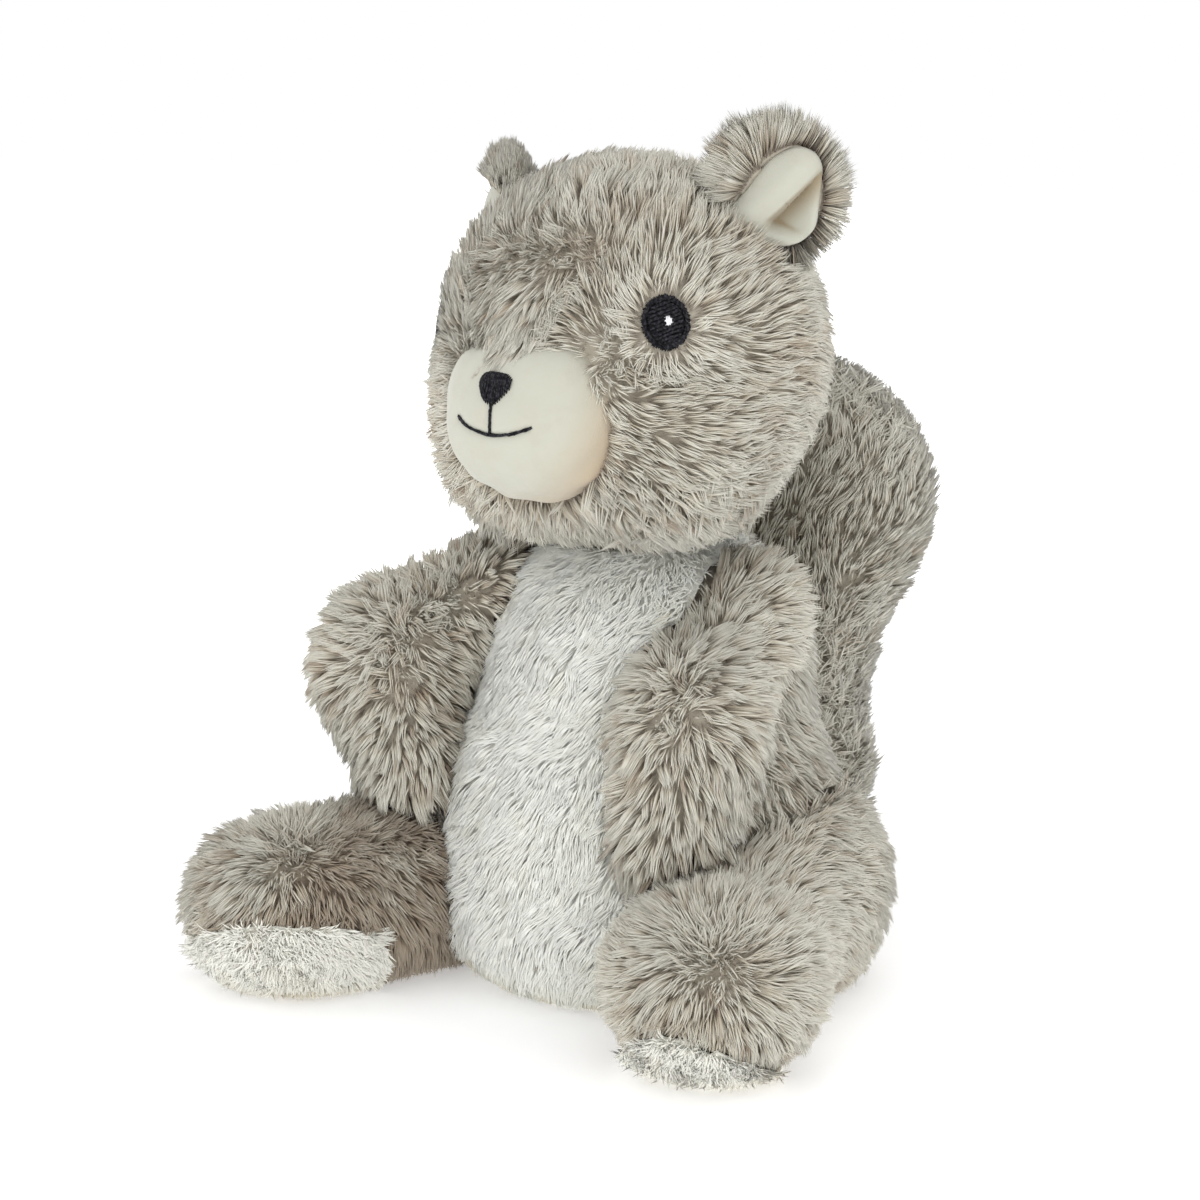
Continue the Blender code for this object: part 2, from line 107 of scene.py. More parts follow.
# The ear's lining in the ear's own frame (mm): X backwards, Z up, Y behind. Its edge, from the
# lower front corner over the tip; the fold's ridge, and the crease at the hollow's bottom.
LINING_EDGE = ((-13.2, -11.5), (-8.2, -1.3), (-3.8, 7.5), (0.5, 11.9), (4.9, 14.3),
               (10.2, 12.9), (12.9, 8.0), (13.6, 0.0), (13.8, -8.0), (11.0, -12.6),
               (6.8, -14.6), (-2.0, -16.0), (-10.0, -16.0))
LINING_MIDDLE = np.array([3.5, -2.0])
RIDGE_TOP = np.array([9.3, 5.1])
RIDGE_LOW = np.array([-2.6, -10.9])
CREASE_HEIGHT = -7.8
CREASE_FALL = 0.24
HOLLOW_DEPTH = 8.5
EAR_HALF = np.array([16.3, 6.5, 16.8])
EAR_BEHIND = 4.5
LINING_GAP = 1.0 * MM
EAR_HAIR = {"left": 10.5, "right": 8.5}

# Where the photograph shows the head's pile part, and where it radiates from (degrees); then the
# whorls on the arms and feet, as its pixels
PARTING_SPREAD = 28
PARTING_ELEVATION = 37
BROW_SOURCE = (32, 3)
CHIN_SOURCE = (0, -20)
ARM_WHORLS = {"right": ((430, 600), (381, 674)), "left": ((672, 662), (676, 736))}
TOE_WHORLS = {"right": (300, 840), "left": (712, 950)}
TAIL_WAIST = 103 * MM
# Painted shade: pile within this reach of another form gets a darker tone, for the shade between
# forms.
PAINTED_SHADE_REACH = 14 * MM  # pile this near another form is darker
CLEAR_GAPS = (0.4 * MM, 1.1 * MM)  # from bare skin to full pile, by the distance to a neighbour
DOWN = np.array([0.0, 0.0, -1.0])

# Studio: each lamp's name, place, size and power; the surround's light; the floor's own glow,
# which rises from the toy's shadow to the white surround; its least glow, everywhere, is painted
# light from the floor that lights the toy from below
LAMPS = (("key", (-0.4, -1.4, 0.15), 1.0, 4.1), ("fill", (1.35, -0.7, 0.42), 1.2, 3.8),
         ("top", (0.1, 0.3, 1.5), 1.0, 2))
LAMP_TARGET = Vector((0, 0, 0.12))
SURROUND_LEVEL = 0.88
FLOOR_COLOUR = (0.92, 0.92, 0.92, 1)
FLOOR_GLOW = {"From Min": 0.2, "From Max": 0.7, "To Min": 0.3, "To Max": 1.0}
FLOOR_LEAST_GLOW = 0.35

# Colours, linear: the pile from its root to its tip, then the velour and the threads
GREY_ROOT = (0.24, 0.185, 0.145)
GREY_MIDDLE = (0.55, 0.51, 0.42)
GREY_TIP = (0.78, 0.765, 0.675)
WHITE_ROOT = (0.92, 0.92, 0.85)
WHITE_TIP = (0.95, 0.96, 0.90)
CREAM_ROOT = (0.88, 0.87, 0.76)
CREAM_TIP = (0.97, 0.96, 0.88)
VELOUR = (0.565, 0.565, 0.48)
VELOUR_SHADE = (0.55, 0.54, 0.45)
# Painted shade: the muzzle's warm, darker rim, which grows away from its lit upper left front.
VELOUR_RIM_SHADE = (0.50, 0.37, 0.235)
# Painted shade: the ear lining's hollow and crease.
VELOUR_HOLLOW_SHADE = (0.34, 0.27, 0.17)
BLACK = (0.004, 0.004, 0.006)
# Painted sheen: the black thread's lighter streaks, in place of its glints.
BLACK_SHEEN_PAINT = (0.05, 0.05, 0.058)
WHITE = (0.86, 0.86, 0.88)
# Painted sheen: the white thread's lighter streaks.
WHITE_SHEEN_PAINT = (0.95, 0.95, 0.97)
OWN_NORMAL = 0.35  # a strand's own roundness in its shading, against the form's
BLADE_BEND = 0.4  # how much of a strand's bend its flat blade keeps
SKIN_SHADE = 0.29  # the skin's place on the way from the root's colour to the tip's


def lengths(v):
    return np.linalg.norm(v, axis=-1, keepdims=True)


def unit(v):
    return v / np.maximum(lengths(v), 1e-12)


def dot(a, b):
    return np.sum(a * b, axis=-1, keepdims=True)


def smooth_step(x, low, high):
    t = np.clip((x - low) / (high - low), 0, 1)
    return t * t * (3 - 2 * t)


def placed(points, place):
    """Points, as an array, moved by a matrix."""
    move = np.array(place)
    return points @ move[:3, :3].T + move[:3, 3]


def flat_on(v, normals):
    """The part of each vector that lies in the surface."""
    return v - dot(v, normals) * normals


def waves(points, length, seed, count=7):
    """A smooth pattern over space, about -1 to 1, whose patches are about that long."""
    rng = np.random.default_rng(seed)
    total = np.zeros(len(points))
    for _ in range(count):
        way = unit(rng.normal(size=3)) * (2 * math.pi / length) * rng.uniform(0.6, 1.5)
        total += np.sin(points @ way + rng.uniform(0, 2 * math.pi))
    return total / math.sqrt(count)


def direction(azimuth, elevation):
    """A unit vector at angles from straight ahead, -Y."""
    a, e = math.radians(azimuth), math.radians(elevation)
    return Vector((math.sin(a) * math.cos(e), -math.cos(a) * math.cos(e), math.sin(e)))


def facing(centre, azimuth, elevation):
    """A frame at centre whose Z axis points outwards, at angles from straight ahead."""
    ahead = direction(azimuth, elevation)
    a = math.radians(azimuth)
    side = Vector((math.cos(a), math.sin(a), 0))
    turn = Matrix((side, ahead.cross(side), ahead)).transposed().to_4x4()
    return Matrix.Translation(centre) @ turn


def box_centre(node):
    low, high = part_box(node)
    return (low + high) / 2


HEAD_FRAME = (Matrix.Translation(box_centre("head"))
              @ Euler((0, math.radians(HEAD_ROLL), math.radians(HEAD_YAW))).to_matrix().to_4x4())
MUZZLE_FRAME = HEAD_FRAME @ Matrix.Translation(MUZZLE_CENTRE)


def new_object(name, data):
    obj = bpy.data.objects.new(name, data)
    bpy.context.scene.collection.objects.link(obj)
    return obj


def make_camera():
    back = direction(CAMERA_AZIMUTH, CAMERA_ELEVATION)
    data = bpy.data.cameras.new("camera")
    data.sensor_width = SENSOR_WIDTH
    data.lens = SENSOR_WIDTH * CAMERA_DISTANCE / VIEW_WIDTH
    data.clip_start = 0.01
    camera = new_object("camera", data)
    camera.location = CAMERA_TARGET + back * CAMERA_DISTANCE
    camera.rotation_euler = back.to_track_quat("Z", "Y").to_euler()
    bpy.context.scene.camera = camera
    bpy.context.view_layer.update()
    return camera


CAMERA = make_camera()


def tree_of(mesh):
    return BVHTree.FromPolygons([v.co for v in mesh.vertices], [p.vertices for p in mesh.polygons])


TREES = {name: tree_of(obj.data) for name, obj in NODES.items()}


def photo_point(pixel, node):
    """The point of a node's surface that a pixel of the photograph shows."""
    turn = CAMERA.matrix_world.to_3x3()
    step = VIEW_WIDTH / CAMERA_DISTANCE / PHOTO_PIXELS
    across, down = (p - PHOTO_PIXELS / 2 for p in pixel)
    ray = turn @ Vector((across * step, -down * step, -1))
    eye = CAMERA.matrix_world.translation
    hit = TREES[node].ray_cast(eye, ray.normalized())[0]
    if hit is None:
        hit = TREES[node].find_nearest(eye + ray * CAMERA_DISTANCE)[0]
    return np.array(hit)


class Surface:
    """A smooth surface at the level of the fur's tips, as arrays."""

    def __init__(self, mesh):
        mesh.calc_loop_triangles()
        self.co = read(mesh.vertices, "co", 3)
        self.tris = read(mesh.loop_triangles, "vertices", 3, np.int32)
        self.update()

    def update(self):
        a, b, c = (self.co[self.tris[:, i]] for i in range(3))
        cross = np.cross(b - a, c - a)
        self.areas = lengths(cross)[:, 0] / 2
        total = np.zeros_like(self.co)
        for i in range(3):
            np.add.at(total, self.tris[:, i], cross)
        self.normals = unit(total)

    def smoothed(self, values, rounds):
        """Values at the vertices, each averaged with its neighbours' that many times."""
        for _ in range(rounds):
            total = np.zeros_like(values)
            count = np.zeros(len(values))
            for i in range(3):
                for j in range(3):
                    np.add.at(total, self.tris[:, i], values[self.tris[:, j]])
                np.add.at(count, self.tris[:, i], 3)
            count = np.maximum(count, 1)
            values = total / (count[:, None] if values.ndim > 1 else count)
        return values

    def scatter(self, weights, count, rng):
        """Random places, as triangles and the shares of their corners."""
        chance = self.areas * weights[self.tris].mean(axis=1)
        picked = rng.choice(len(chance), count, p=chance / chance.sum())
        u, v = rng.random((2, count))
        over = u + v > 1
        u[over], v[over] = 1 - u[over], 1 - v[over]
        return picked, np.stack([1 - u - v, u, v], axis=1)

    def at(self, values, places):
        picked, shares = places
        corners = values[self.tris[picked]]
        if corners.ndim == 2:
            return np.sum(corners * shares, axis=1)
        return np.sum(corners * shares[:, :, None], axis=1)


def read(items, name, width, kind=np.float32):
    values = np.zeros(len(items) * width, kind)
    items.foreach_get(name, values)
    return values.reshape(-1, width).astype(float if kind is np.float32 else kind)


def mesh_of(shape, name):
    """A finished bmesh as a mesh."""
    mesh = bpy.data.meshes.new(name)
    shape.to_mesh(mesh)
    shape.free()
    return mesh


def ball(name, subdivisions):
    shape = bmesh.new()
    bmesh.ops.create_icosphere(shape, subdivisions=subdivisions, radius=1)
    return mesh_of(shape, name)


def evaluated_mesh(obj):
    graph = bpy.context.evaluated_depsgraph_get()
    return bpy.data.meshes.new_from_object(obj.evaluated_get(graph))


def smooth_form(node, voxel, rounds):
    """A node's solid with its facets and cut edges rounded off, in even small faces."""
    rough = new_object("rough_" + node, NODES[node].data.copy())
    remesh = rough.modifiers.new("remesh", "REMESH")
    remesh.mode = "VOXEL"
    remesh.voxel_size = voxel
    smooth = rough.modifiers.new("smooth", "SMOOTH")
    smooth.iterations = rounds
    made = Surface(evaluated_mesh(rough))
    bpy.data.objects.remove(rough)
    return made


def outer_patch(node, under, cuts):
    """The outer face of a thin node that lies on another, in small even faces."""
    shape = bmesh.new()
    shape.from_mesh(NODES[node].data)
    bmesh.ops.remove_doubles(shape, verts=shape.verts, dist=0.02 * MM)
    inner = []
    for face in shape.faces:
        _, normal, _, gap = TREES[under].find_nearest(face.calc_center_median())
        if gap < 2 * MM or face.normal.dot(normal) < 0.5:
            inner.append(face)
    bmesh.ops.delete(shape, geom=inner, context="FACES")
    bmesh.ops.triangulate(shape, faces=shape.faces)
    for _ in range(cuts):
        bmesh.ops.subdivide_edges(shape, edges=shape.edges, cuts=1, use_grid_fill=True)
        bmesh.ops.triangulate(shape, faces=shape.faces)
        inside = [v for v in shape.verts if not v.is_boundary]
        for _ in range(3):
            bmesh.ops.smooth_vert(shape, verts=inside, factor=0.5,
                                  use_axis_x=True, use_axis_y=True, use_axis_z=True)
    return Surface(mesh_of(shape, node + "_patch"))


def clearance(surface, neighbours, reach=8 * MM, deepest=3 * MM):
    """How far each vertex is from the nearest neighbour's solid, negative inside it.

    No vertex is taken to be deeper inside than deepest.
    """
    nearest = np.full(len(surface.co), reach)
    for name in neighbours:
        low, high = (np.array(c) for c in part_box(name))
        close = np.all((surface.co > low - reach) & (surface.co < high + reach), axis=1)
        for i in np.nonzero(close)[0]:
            point = Vector(surface.co[i])
            place, normal, _, gap = TREES[name].find_nearest(point)
            inside = gap < deepest and (point - place).dot(normal) < 0
            nearest[i] = min(nearest[i], -gap if inside else gap)
    return nearest


def away_from(points, source, reach=10 * MM):
    """Unit vectors away from a point, fading to nothing at the point itself."""
    step = points - np.array(source)
    far = lengths(step)
    return step / np.maximum(far, 1e-9) * (1 - np.exp(-(far / reach) ** 2))


def combed(surface, flow, rounds=3):
    """A flow laid into the surface, at most 1 long, with its sudden turns smoothed."""
    flow = surface.smoothed(flat_on(flow, surface.normals), rounds)
    flow = flat_on(flow, surface.normals)
    return flow / np.maximum(lengths(flow), 1)


@dataclass
class Pile:
    """How one form's fur grows. Lengths are given in mm, and the density for each square mm."""

    depth: float = 4.4  # the skin's depth below the tips
    density: float = 1.05
    width: float = 0.47
    lie: float = 1.3  # how far the strands lean over with the flow
    clump: float = 3.0  # the distance between clumps
    gather: float = 0.5  # how far a strand's tip is drawn to its clump's
    ruffle: float = 0.3  # stray directions
    uneven: float = 0.22  # stray lengths
    seed: int = 1
    length: float = 0  # 0: long enough to reach the tips' level
    roll: float = 0.35  # how freely the blades turn about their own length
    loose: float = 0.6  # more stray directions where the flow is weak

    def __post_init__(self):
        self.density /= MM**2
        for name in ("depth", "width", "clump", "length"):
            setattr(self, name, getattr(self, name) * MM)


def grow(surface, flow, bare, depth, tone, pile):
    """Strands over a surface: their roots, middles, tips and tones, and the skin's normals.

    bare is 0 where nothing grows, up to 1; depth is the skin's depth at each vertex.
    """
    rng = np.random.default_rng(pile.seed)
    area = float(np.sum(surface.areas * bare[surface.tris].mean(axis=1)))
    count = int(area * pile.density)
    places = surface.scatter(bare, count, rng)
    guides = surface.scatter(bare, max(int(area / pile.clump**2), 8), rng)
    own = strand_shapes(surface, places, flow, depth, pile, rng, unrest=0.45)
    lead = strand_shapes(surface, guides, flow, depth, pile, rng, unrest=1.0)
    tree = KDTree(len(lead[0]))
    for i, point in enumerate(lead[0]):
        tree.insert(point, i)
    tree.balance()
    nearest = np.array([tree.find(point)[1] for point in own[0]])
    root, middle, tip = own
    shift = root - lead[0][nearest]
    middle = middle + (lead[1][nearest] + shift * 0.8 - middle) * pile.gather * 0.5
    tip = tip + (lead[2][nearest] + shift * 0.35 - tip) * pile.gather
    guide_tone = rng.normal(0, 0.09, len(lead[0])) - 0.34 * (rng.random(len(lead[0])) < 0.09)
    shade = surface.at(tone, places) + guide_tone[nearest] + rng.normal(0, 0.09, count)
    normal = unit(surface.at(surface.normals, places))
    return root, middle, tip, np.clip(shade, 0.03, 0.97), normal


def strand_shapes(surface, places, flow, depth, pile, rng, unrest):
    """Roots, middles and tips that rise from the skin and lean over with the flow."""
    point = surface.at(surface.co, places)
    normal = unit(surface.at(surface.normals, places))
    sunk = surface.at(depth, places)[:, None]
    way = surface.at(flow, places)
    root = point - normal * sunk
    laid = np.minimum(lengths(way), 1)
    stray = flat_on(rng.normal(size=point.shape), normal)
    way = way + stray * (pile.ruffle * unrest + pile.loose * (1 - laid))
    lie = pile.lie * np.clip(pile.depth / np.maximum(sunk, 0.1 * MM), 1, 3.2)
    low = unit(normal + 0.45 * lie * way)
    laid = np.minimum(lengths(way), 1)
    high = unit(normal * (1 - 0.72 * laid) + lie * way)
    rise = 0.5 * (dot(low, normal) + dot(high, normal))
    uneven = np.clip(1 + pile.uneven * rng.normal(size=sunk.shape) * unrest, 0.5, 1.5)
    length = pile.length or (sunk + 1.3 * MM) / np.maximum(rise, 0.25)
    length = length * uneven
    middle = root + low * length * 0.5
    return root, middle, middle + high * length * 0.5


def strands_part(root, middle, tip, tone, normal, pile, rng):
    """Each strand is a closed thin blade: a root, a middle that is two points wide, and a tip."""
    count = len(root)
    chord = (root + tip) / 2
    bend = (middle - chord) * BLADE_BEND
    axis = unit(tip - root)
    side = unit(np.cross(axis, normal + pile.roll * rng.normal(size=axis.shape)))
    side = np.where(dot(np.cross(axis, side), bend) > 0, -side, side)
    half = pile.width * rng.uniform(0.36, 0.64, (count, 1)) * side
    points = np.stack([root, chord + bend - half, chord + bend + half, tip], axis=1)
    faces = np.array([(0, 2, 1), (3, 1, 2), (0, 1, 3), (0, 3, 2)])
    tris = (np.arange(count)[:, None, None] * 4 + faces[None]).reshape(-1, 3)
    uv = np.zeros((count, 4, 2))
    uv[:, :, 0] = tone[:, None] + np.array([0, -0.09, 0.09, 0])
    uv[:, :, 1] = np.array([0.02, 0.5, 0.5, 0.98])
    soft = np.repeat(normal[:, None], 4, axis=1)
    soft[:, 1] -= side * OWN_NORMAL
    soft[:, 2] += side * OWN_NORMAL
    uv = np.clip(uv, 0.01, 0.99).reshape(-1, 2)
    return points.reshape(-1, 3), tris, uv, unit(soft).reshape(-1, 3)


def build_mesh(name, parts):
    """One smooth mesh from groups of points and triangles, some with a map and normals too."""
    points, tris, maps, normals, start = [], [], [], [], 0
    for co, faces, *looks in parts:
        points.append(co)
        tris.append(faces + start)
        if looks:
            maps.append(looks[0])
            normals.append(looks[1])
        start += len(co)
    points, tris = np.concatenate(points), np.concatenate(tris)
    mesh = bpy.data.meshes.new(name)
    mesh.vertices.add(len(points))
    mesh.vertices.foreach_set("co", points.astype(np.float32).ravel())
    mesh.loops.add(tris.size)
    mesh.loops.foreach_set("vertex_index", tris.astype(np.int32).ravel())
    mesh.polygons.add(len(tris))
    mesh.polygons.foreach_set("loop_start", np.arange(0, tris.size, 3, dtype=np.int32))
    mesh.polygons.foreach_set("loop_total", np.full(len(tris), 3, np.int32))
    mesh.update(calc_edges=True)
    mesh.shade_smooth()
    if maps:
        layer = mesh.uv_layers.new(name="OFBake")
        uv = np.concatenate(maps)[tris.ravel()]
        layer.data.foreach_set("uv", uv.astype(np.float32).ravel())
        mesh.normals_split_custom_set_from_vertices(np.concatenate(normals))
    return mesh


def skin_part(surface, depth, tone):
    """The sewn skin under the pile, in the pile's root colour."""
    co = surface.co - surface.normals * depth[:, None]
    co[:, 2] = np.maximum(co[:, 2], 0.2 * MM)
    uv = np.stack([np.clip(tone, 0.03, 0.97), np.full(len(co), SKIN_SHADE)], axis=1)
    uv[:, 1] += 0.03 * (np.arange(len(co)) % 3)
    return co, surface.tris, uv, surface.normals


def shell_part(surface, depth, thickness, tone):
    """A patch's skin as a closed sheet."""
    top, tris, uv, normals = skin_part(surface, depth, tone)
    low = top - surface.normals * thickness
    low[:, 2] = np.maximum(low[:, 2], 0.1 * MM)
    edges = {}
    for tri in tris:
        for i in range(3):
            a, b = int(tri[i]), int(tri[(i + 1) % 3])
            if (b, a) in edges:
                del edges[(b, a)]
            else:
                edges[(a, b)] = True
    shift = len(top)
    sides = [t for a, b in edges for t in ((b, a, a + shift), (b, a + shift, b + shift))]
    faces = np.concatenate([tris, tris[:, ::-1] + shift, np.array(sides, dtype=np.int32)])
    twice = np.concatenate([uv, uv]), np.concatenate([normals, -normals])
    return (np.concatenate([top, low]), faces, *twice)


class Dome:
    """An ellipsoid that strands keep out of; some start just inside it, under its edge."""

    def __init__(self, place, size, inner=0.92):
        self.place = place
        self.reach = np.array(size) / 2
        self.inner = inner

    def far(self, points):
        local = placed(points, self.place.inverted())
        return local, lengths(local / self.reach)

    def holds(self, points):
        return self.far(points)[1][:, 0] < self.inner

    def clear(self, points):
        """The points, moved out to its surface where they are inside it."""
        local, far = self.far(points)
        local = np.where(far < 1, local / np.maximum(far, 1e-6), local)
        return placed(local, self.place)


class Oval(Dome):
    """An oval hole straight through the front of the pile, along its place's Z axis."""

    def __init__(self, place, width, height, depth):
        super().__init__(place, (width, height, 1), 0.84)
        self.depth = depth

    def far(self, points):
        local = placed(points, self.place.inverted())
        far = lengths(local[:, :2] / self.reach[:2])
        return local, np.where(local[:, 2:] > self.depth, far, 2)

    def clear(self, points):
        local, far = self.far(points)
        local[:, :2] /= np.clip(far, 0.05, 1)
        return placed(local, self.place)


def feed(node, inputs):
    """Sets a node's inputs, each to a value or to another node's output."""
    for key, value in inputs.items():
        if isinstance(value, bpy.types.NodeSocket):
            node.id_data.links.new(value, node.inputs[key])
        else:
            node.inputs[key].default_value = value


def add_node(tree, kind, inputs=None, **settings):
    node = tree.nodes.new("ShaderNode" + kind)
    for name, value in settings.items():
        setattr(node, name, value)
    feed(node, inputs or {})
    return node


def add_ramp(tree, value, stops):
    node = add_node(tree, "ValToRGB", {"Fac": value})
    ramp = node.color_ramp
    ramp.interpolation = "EASE"
    while len(ramp.elements) < len(stops):
        ramp.elements.new(0.5)
    for element, (position, colour) in zip(ramp.elements, stops):
        element.position = position
        element.color = (*colour, 1)
    return node.outputs["Color"]


def add_mix(tree, a, b, factor, blend_type="MIX"):
    inputs = {"A": a, "B": b, "Factor": factor}
    return add_node(tree, "Mix", inputs, data_type="RGBA", blend_type=blend_type).outputs["Result"]


def add_map(tree):
    """The two values of a piece's own map."""
    place = add_node(tree, "UVMap", uv_map="OFBake").outputs["UV"]
    split = add_node(tree, "SeparateXYZ", {0: place})
    return split.outputs["X"], split.outputs["Y"]


def add_noise(tree, place, scale, detail, roughness=0.5):
    inputs = {"Vector": place, "Scale": scale, "Detail": detail, "Roughness": roughness}
    return add_node(tree, "TexNoise", inputs).outputs["Fac"]


def add_bump(tree, height, strength, distance):
    inputs = {"Height": height, "Strength": strength, "Distance": distance}
    return add_node(tree, "Bump", inputs).outputs["Normal"]


def new_material(name, roughness, sheen=0.0, specular=0.25):
    material = bpy.data.materials.new(name)
    material.use_nodes = True
    shader = material.node_tree.nodes["Principled BSDF"]
    feed(shader, {"Roughness": roughness, "Sheen Weight": sheen, "Sheen Roughness": 0.6,
                  "Specular IOR Level": specular})
    return material, material.node_tree, shader


def pile_material(name, along, tones):
    """Colour along each strand, times its own tone; both come from the strand's map."""
    material, tree, shader = new_material(name, 0.8, 0.12)
    tone, height = add_map(tree)
    colour = add_mix(tree, add_ramp(tree, height, along), add_ramp(tree, tone, tones), 1,
                     "MULTIPLY")
    feed(shader, {"Base Color": colour})
    return material


def velour_material(name, colour, shade, hollow=None, rim=None):
    """Short nap: brushed patches of shade, a fine bump, and painted shade in a hollow, from its
    map.

    rim is a colour of painted shade that comes up with the distance from a place of painted light:
    (colour, place, near, far).
    """
    material, tree, shader = new_material(name, 0.9, 0.35)
    place = add_node(tree, "TexCoord").outputs["Object"]
    finish = add_ramp(tree, add_noise(tree, place, 130, 6, 0.62), [(0.3, shade), (0.56, colour)])
    if hollow:
        finish = add_mix(tree, finish, (*hollow, 1), add_map(tree)[1])
    if rim:
        rim_shade_colour, centre, near, far = rim
        step = add_node(tree, "VectorMath", {0: place, 1: centre}, operation="DISTANCE")
        reach = add_node(tree, "MapRange", {"Value": step.outputs["Value"], "From Min": near,
                                            "From Max": far}, interpolation_type="SMOOTHSTEP")
        finish = add_mix(tree, finish, (*rim_shade_colour, 1), reach.outputs["Result"])
    nap = add_bump(tree, add_noise(tree, place, 1900, 3), 0.35, 0.25 * MM)
    feed(shader, {"Base Color": finish, "Normal": nap})
    return material


def thread_material(name, colour, sheen_paint):
    """Satin-stitch thread: painted sheen in fine lighter streaks of its colour, and a bump of the
    same fibres.
    """
    material, tree, shader = new_material(name, 0.45, specular=0.11)
    fibres = add_noise(tree, add_node(tree, "TexCoord").outputs["Object"], 1400, 4)
    feed(shader, {"Base Color": add_ramp(tree, fibres, [(0.4, colour), (0.72, sheen_paint)]),
                  "Normal": add_bump(tree, fibres, 0.4, 0.1 * MM)})
    return material


GREY_TONES = [(0.0, (0.62, 0.53, 0.47)), (0.3, (0.84, 0.78, 0.73)), (0.55, (0.97, 0.96, 0.94)),
              (1.0, (1.0, 1.0, 1.0))]
PALE_TONES = [(0.0, (0.80, 0.74, 0.64)), (0.35, (0.95, 0.94, 0.91)), (1.0, (1.0, 1.0, 1.0))]
GREY_ALONG = [(0.05, GREY_ROOT), (0.42, GREY_MIDDLE), (0.8, GREY_TIP)]
# The muzzle's painted light centres here; its painted rim shade grows with the distance from this
# place.
PAINTED_LIGHT_CENTRE = HEAD_FRAME @ (MUZZLE_CENTRE + Vector((-9, -24, 12)) * MM)
MATERIALS = {
    "grey_fur": pile_material("grey_fur", GREY_ALONG, GREY_TONES),
    "white_fur": pile_material("white_fur", [(0.05, WHITE_ROOT), (0.55, WHITE_TIP)], PALE_TONES),
    "cream_fur": pile_material("cream_fur", [(0.05, CREAM_ROOT), (0.55, CREAM_TIP)], PALE_TONES),
    # The muzzle's velour: painted shade, warm and darker, towards its right and lower rim.
    "cream_velour": velour_material("cream_velour", VELOUR, VELOUR_SHADE,
                                    rim=(VELOUR_RIM_SHADE, PAINTED_LIGHT_CENTRE, 32 * MM, 54 * MM)),
    "black_thread": thread_material("black_thread", BLACK, BLACK_SHEEN_PAINT),
    "white_thread": thread_material("white_thread", WHITE, WHITE_SHEEN_PAINT),
}
# The ear lining's velour: painted shade in its hollow, taken from its map.
EAR_VELOUR = velour_material("ear_velour", VELOUR, VELOUR_SHADE, VELOUR_HOLLOW_SHADE)


def dress(name, mesh, node, slot, material=None):
    """A piece that stands for a node, in the finish of one of the record's slots."""
    piece = new_object(name, mesh)
    piece.data.materials.append(material or MATERIALS[slot])
    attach(piece, "root")
    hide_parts(node)


def embroider(name, parts, node, slot):
    dress(name, build_mesh(name, parts), node, slot)


def head_angles(points):
    """Azimuth and elevation of points, in degrees, seen from the head's centre."""
    local = placed(points, HEAD_FRAME.inverted())
    azimuth = np.degrees(np.arctan2(local[:, 0], -local[:, 1]))
    elevation = np.degrees(np.arcsin(local[:, 2] / lengths(local)[:, 0]))
    return azimuth, elevation, local


def on_head(azimuth, elevation):
    """Points of the skull's surface at angles in the head's frame, for arrays of angles."""
    a, e = np.radians(azimuth), np.radians(elevation)
    way = np.stack([np.sin(a) * np.cos(e), -np.cos(a) * np.cos(e), np.sin(e)], axis=-1)
    return placed(way * np.array(SKULL_SIZE) / 2, HEAD_FRAME)


def head_flow(surface):
    """Down the forehead to the muzzle, up over the crown, and outwards over the cheeks."""
    azimuth, elevation, local = head_angles(surface.co)
    parting = on_head(np.clip(azimuth, -PARTING_SPREAD, PARTING_SPREAD),
                      np.full(len(azimuth), float(PARTING_ELEVATION)))
    forehead = away_from(surface.co, parting, 7 * MM)
    low = smooth_step(elevation, 5, -28)
    side = np.sign(azimuth + 1e-9)
    source = on_head((1 - low) * side * BROW_SOURCE[0] + low * CHIN_SOURCE[0],
                     (1 - low) * BROW_SOURCE[1] + low * CHIN_SOURCE[1])
    cheeks = away_from(surface.co, source, 7 * MM)
    half = 12 + 18 * smooth_step(elevation, 0, 34)
    gusset = smooth_step(half - np.abs(azimuth), -4, 5) * smooth_step(elevation, -8, 4)
    gusset *= smooth_step(elevation, 78, 50)
    flow = gusset[:, None] * forehead + (1 - gusset[:, None]) * cheeks
    behind = smooth_step(local[:, 1], 5 * MM, 45 * MM)
    return flow * (1 - behind[:, None] * 0.6) + behind[:, None] * DOWN * 0.9


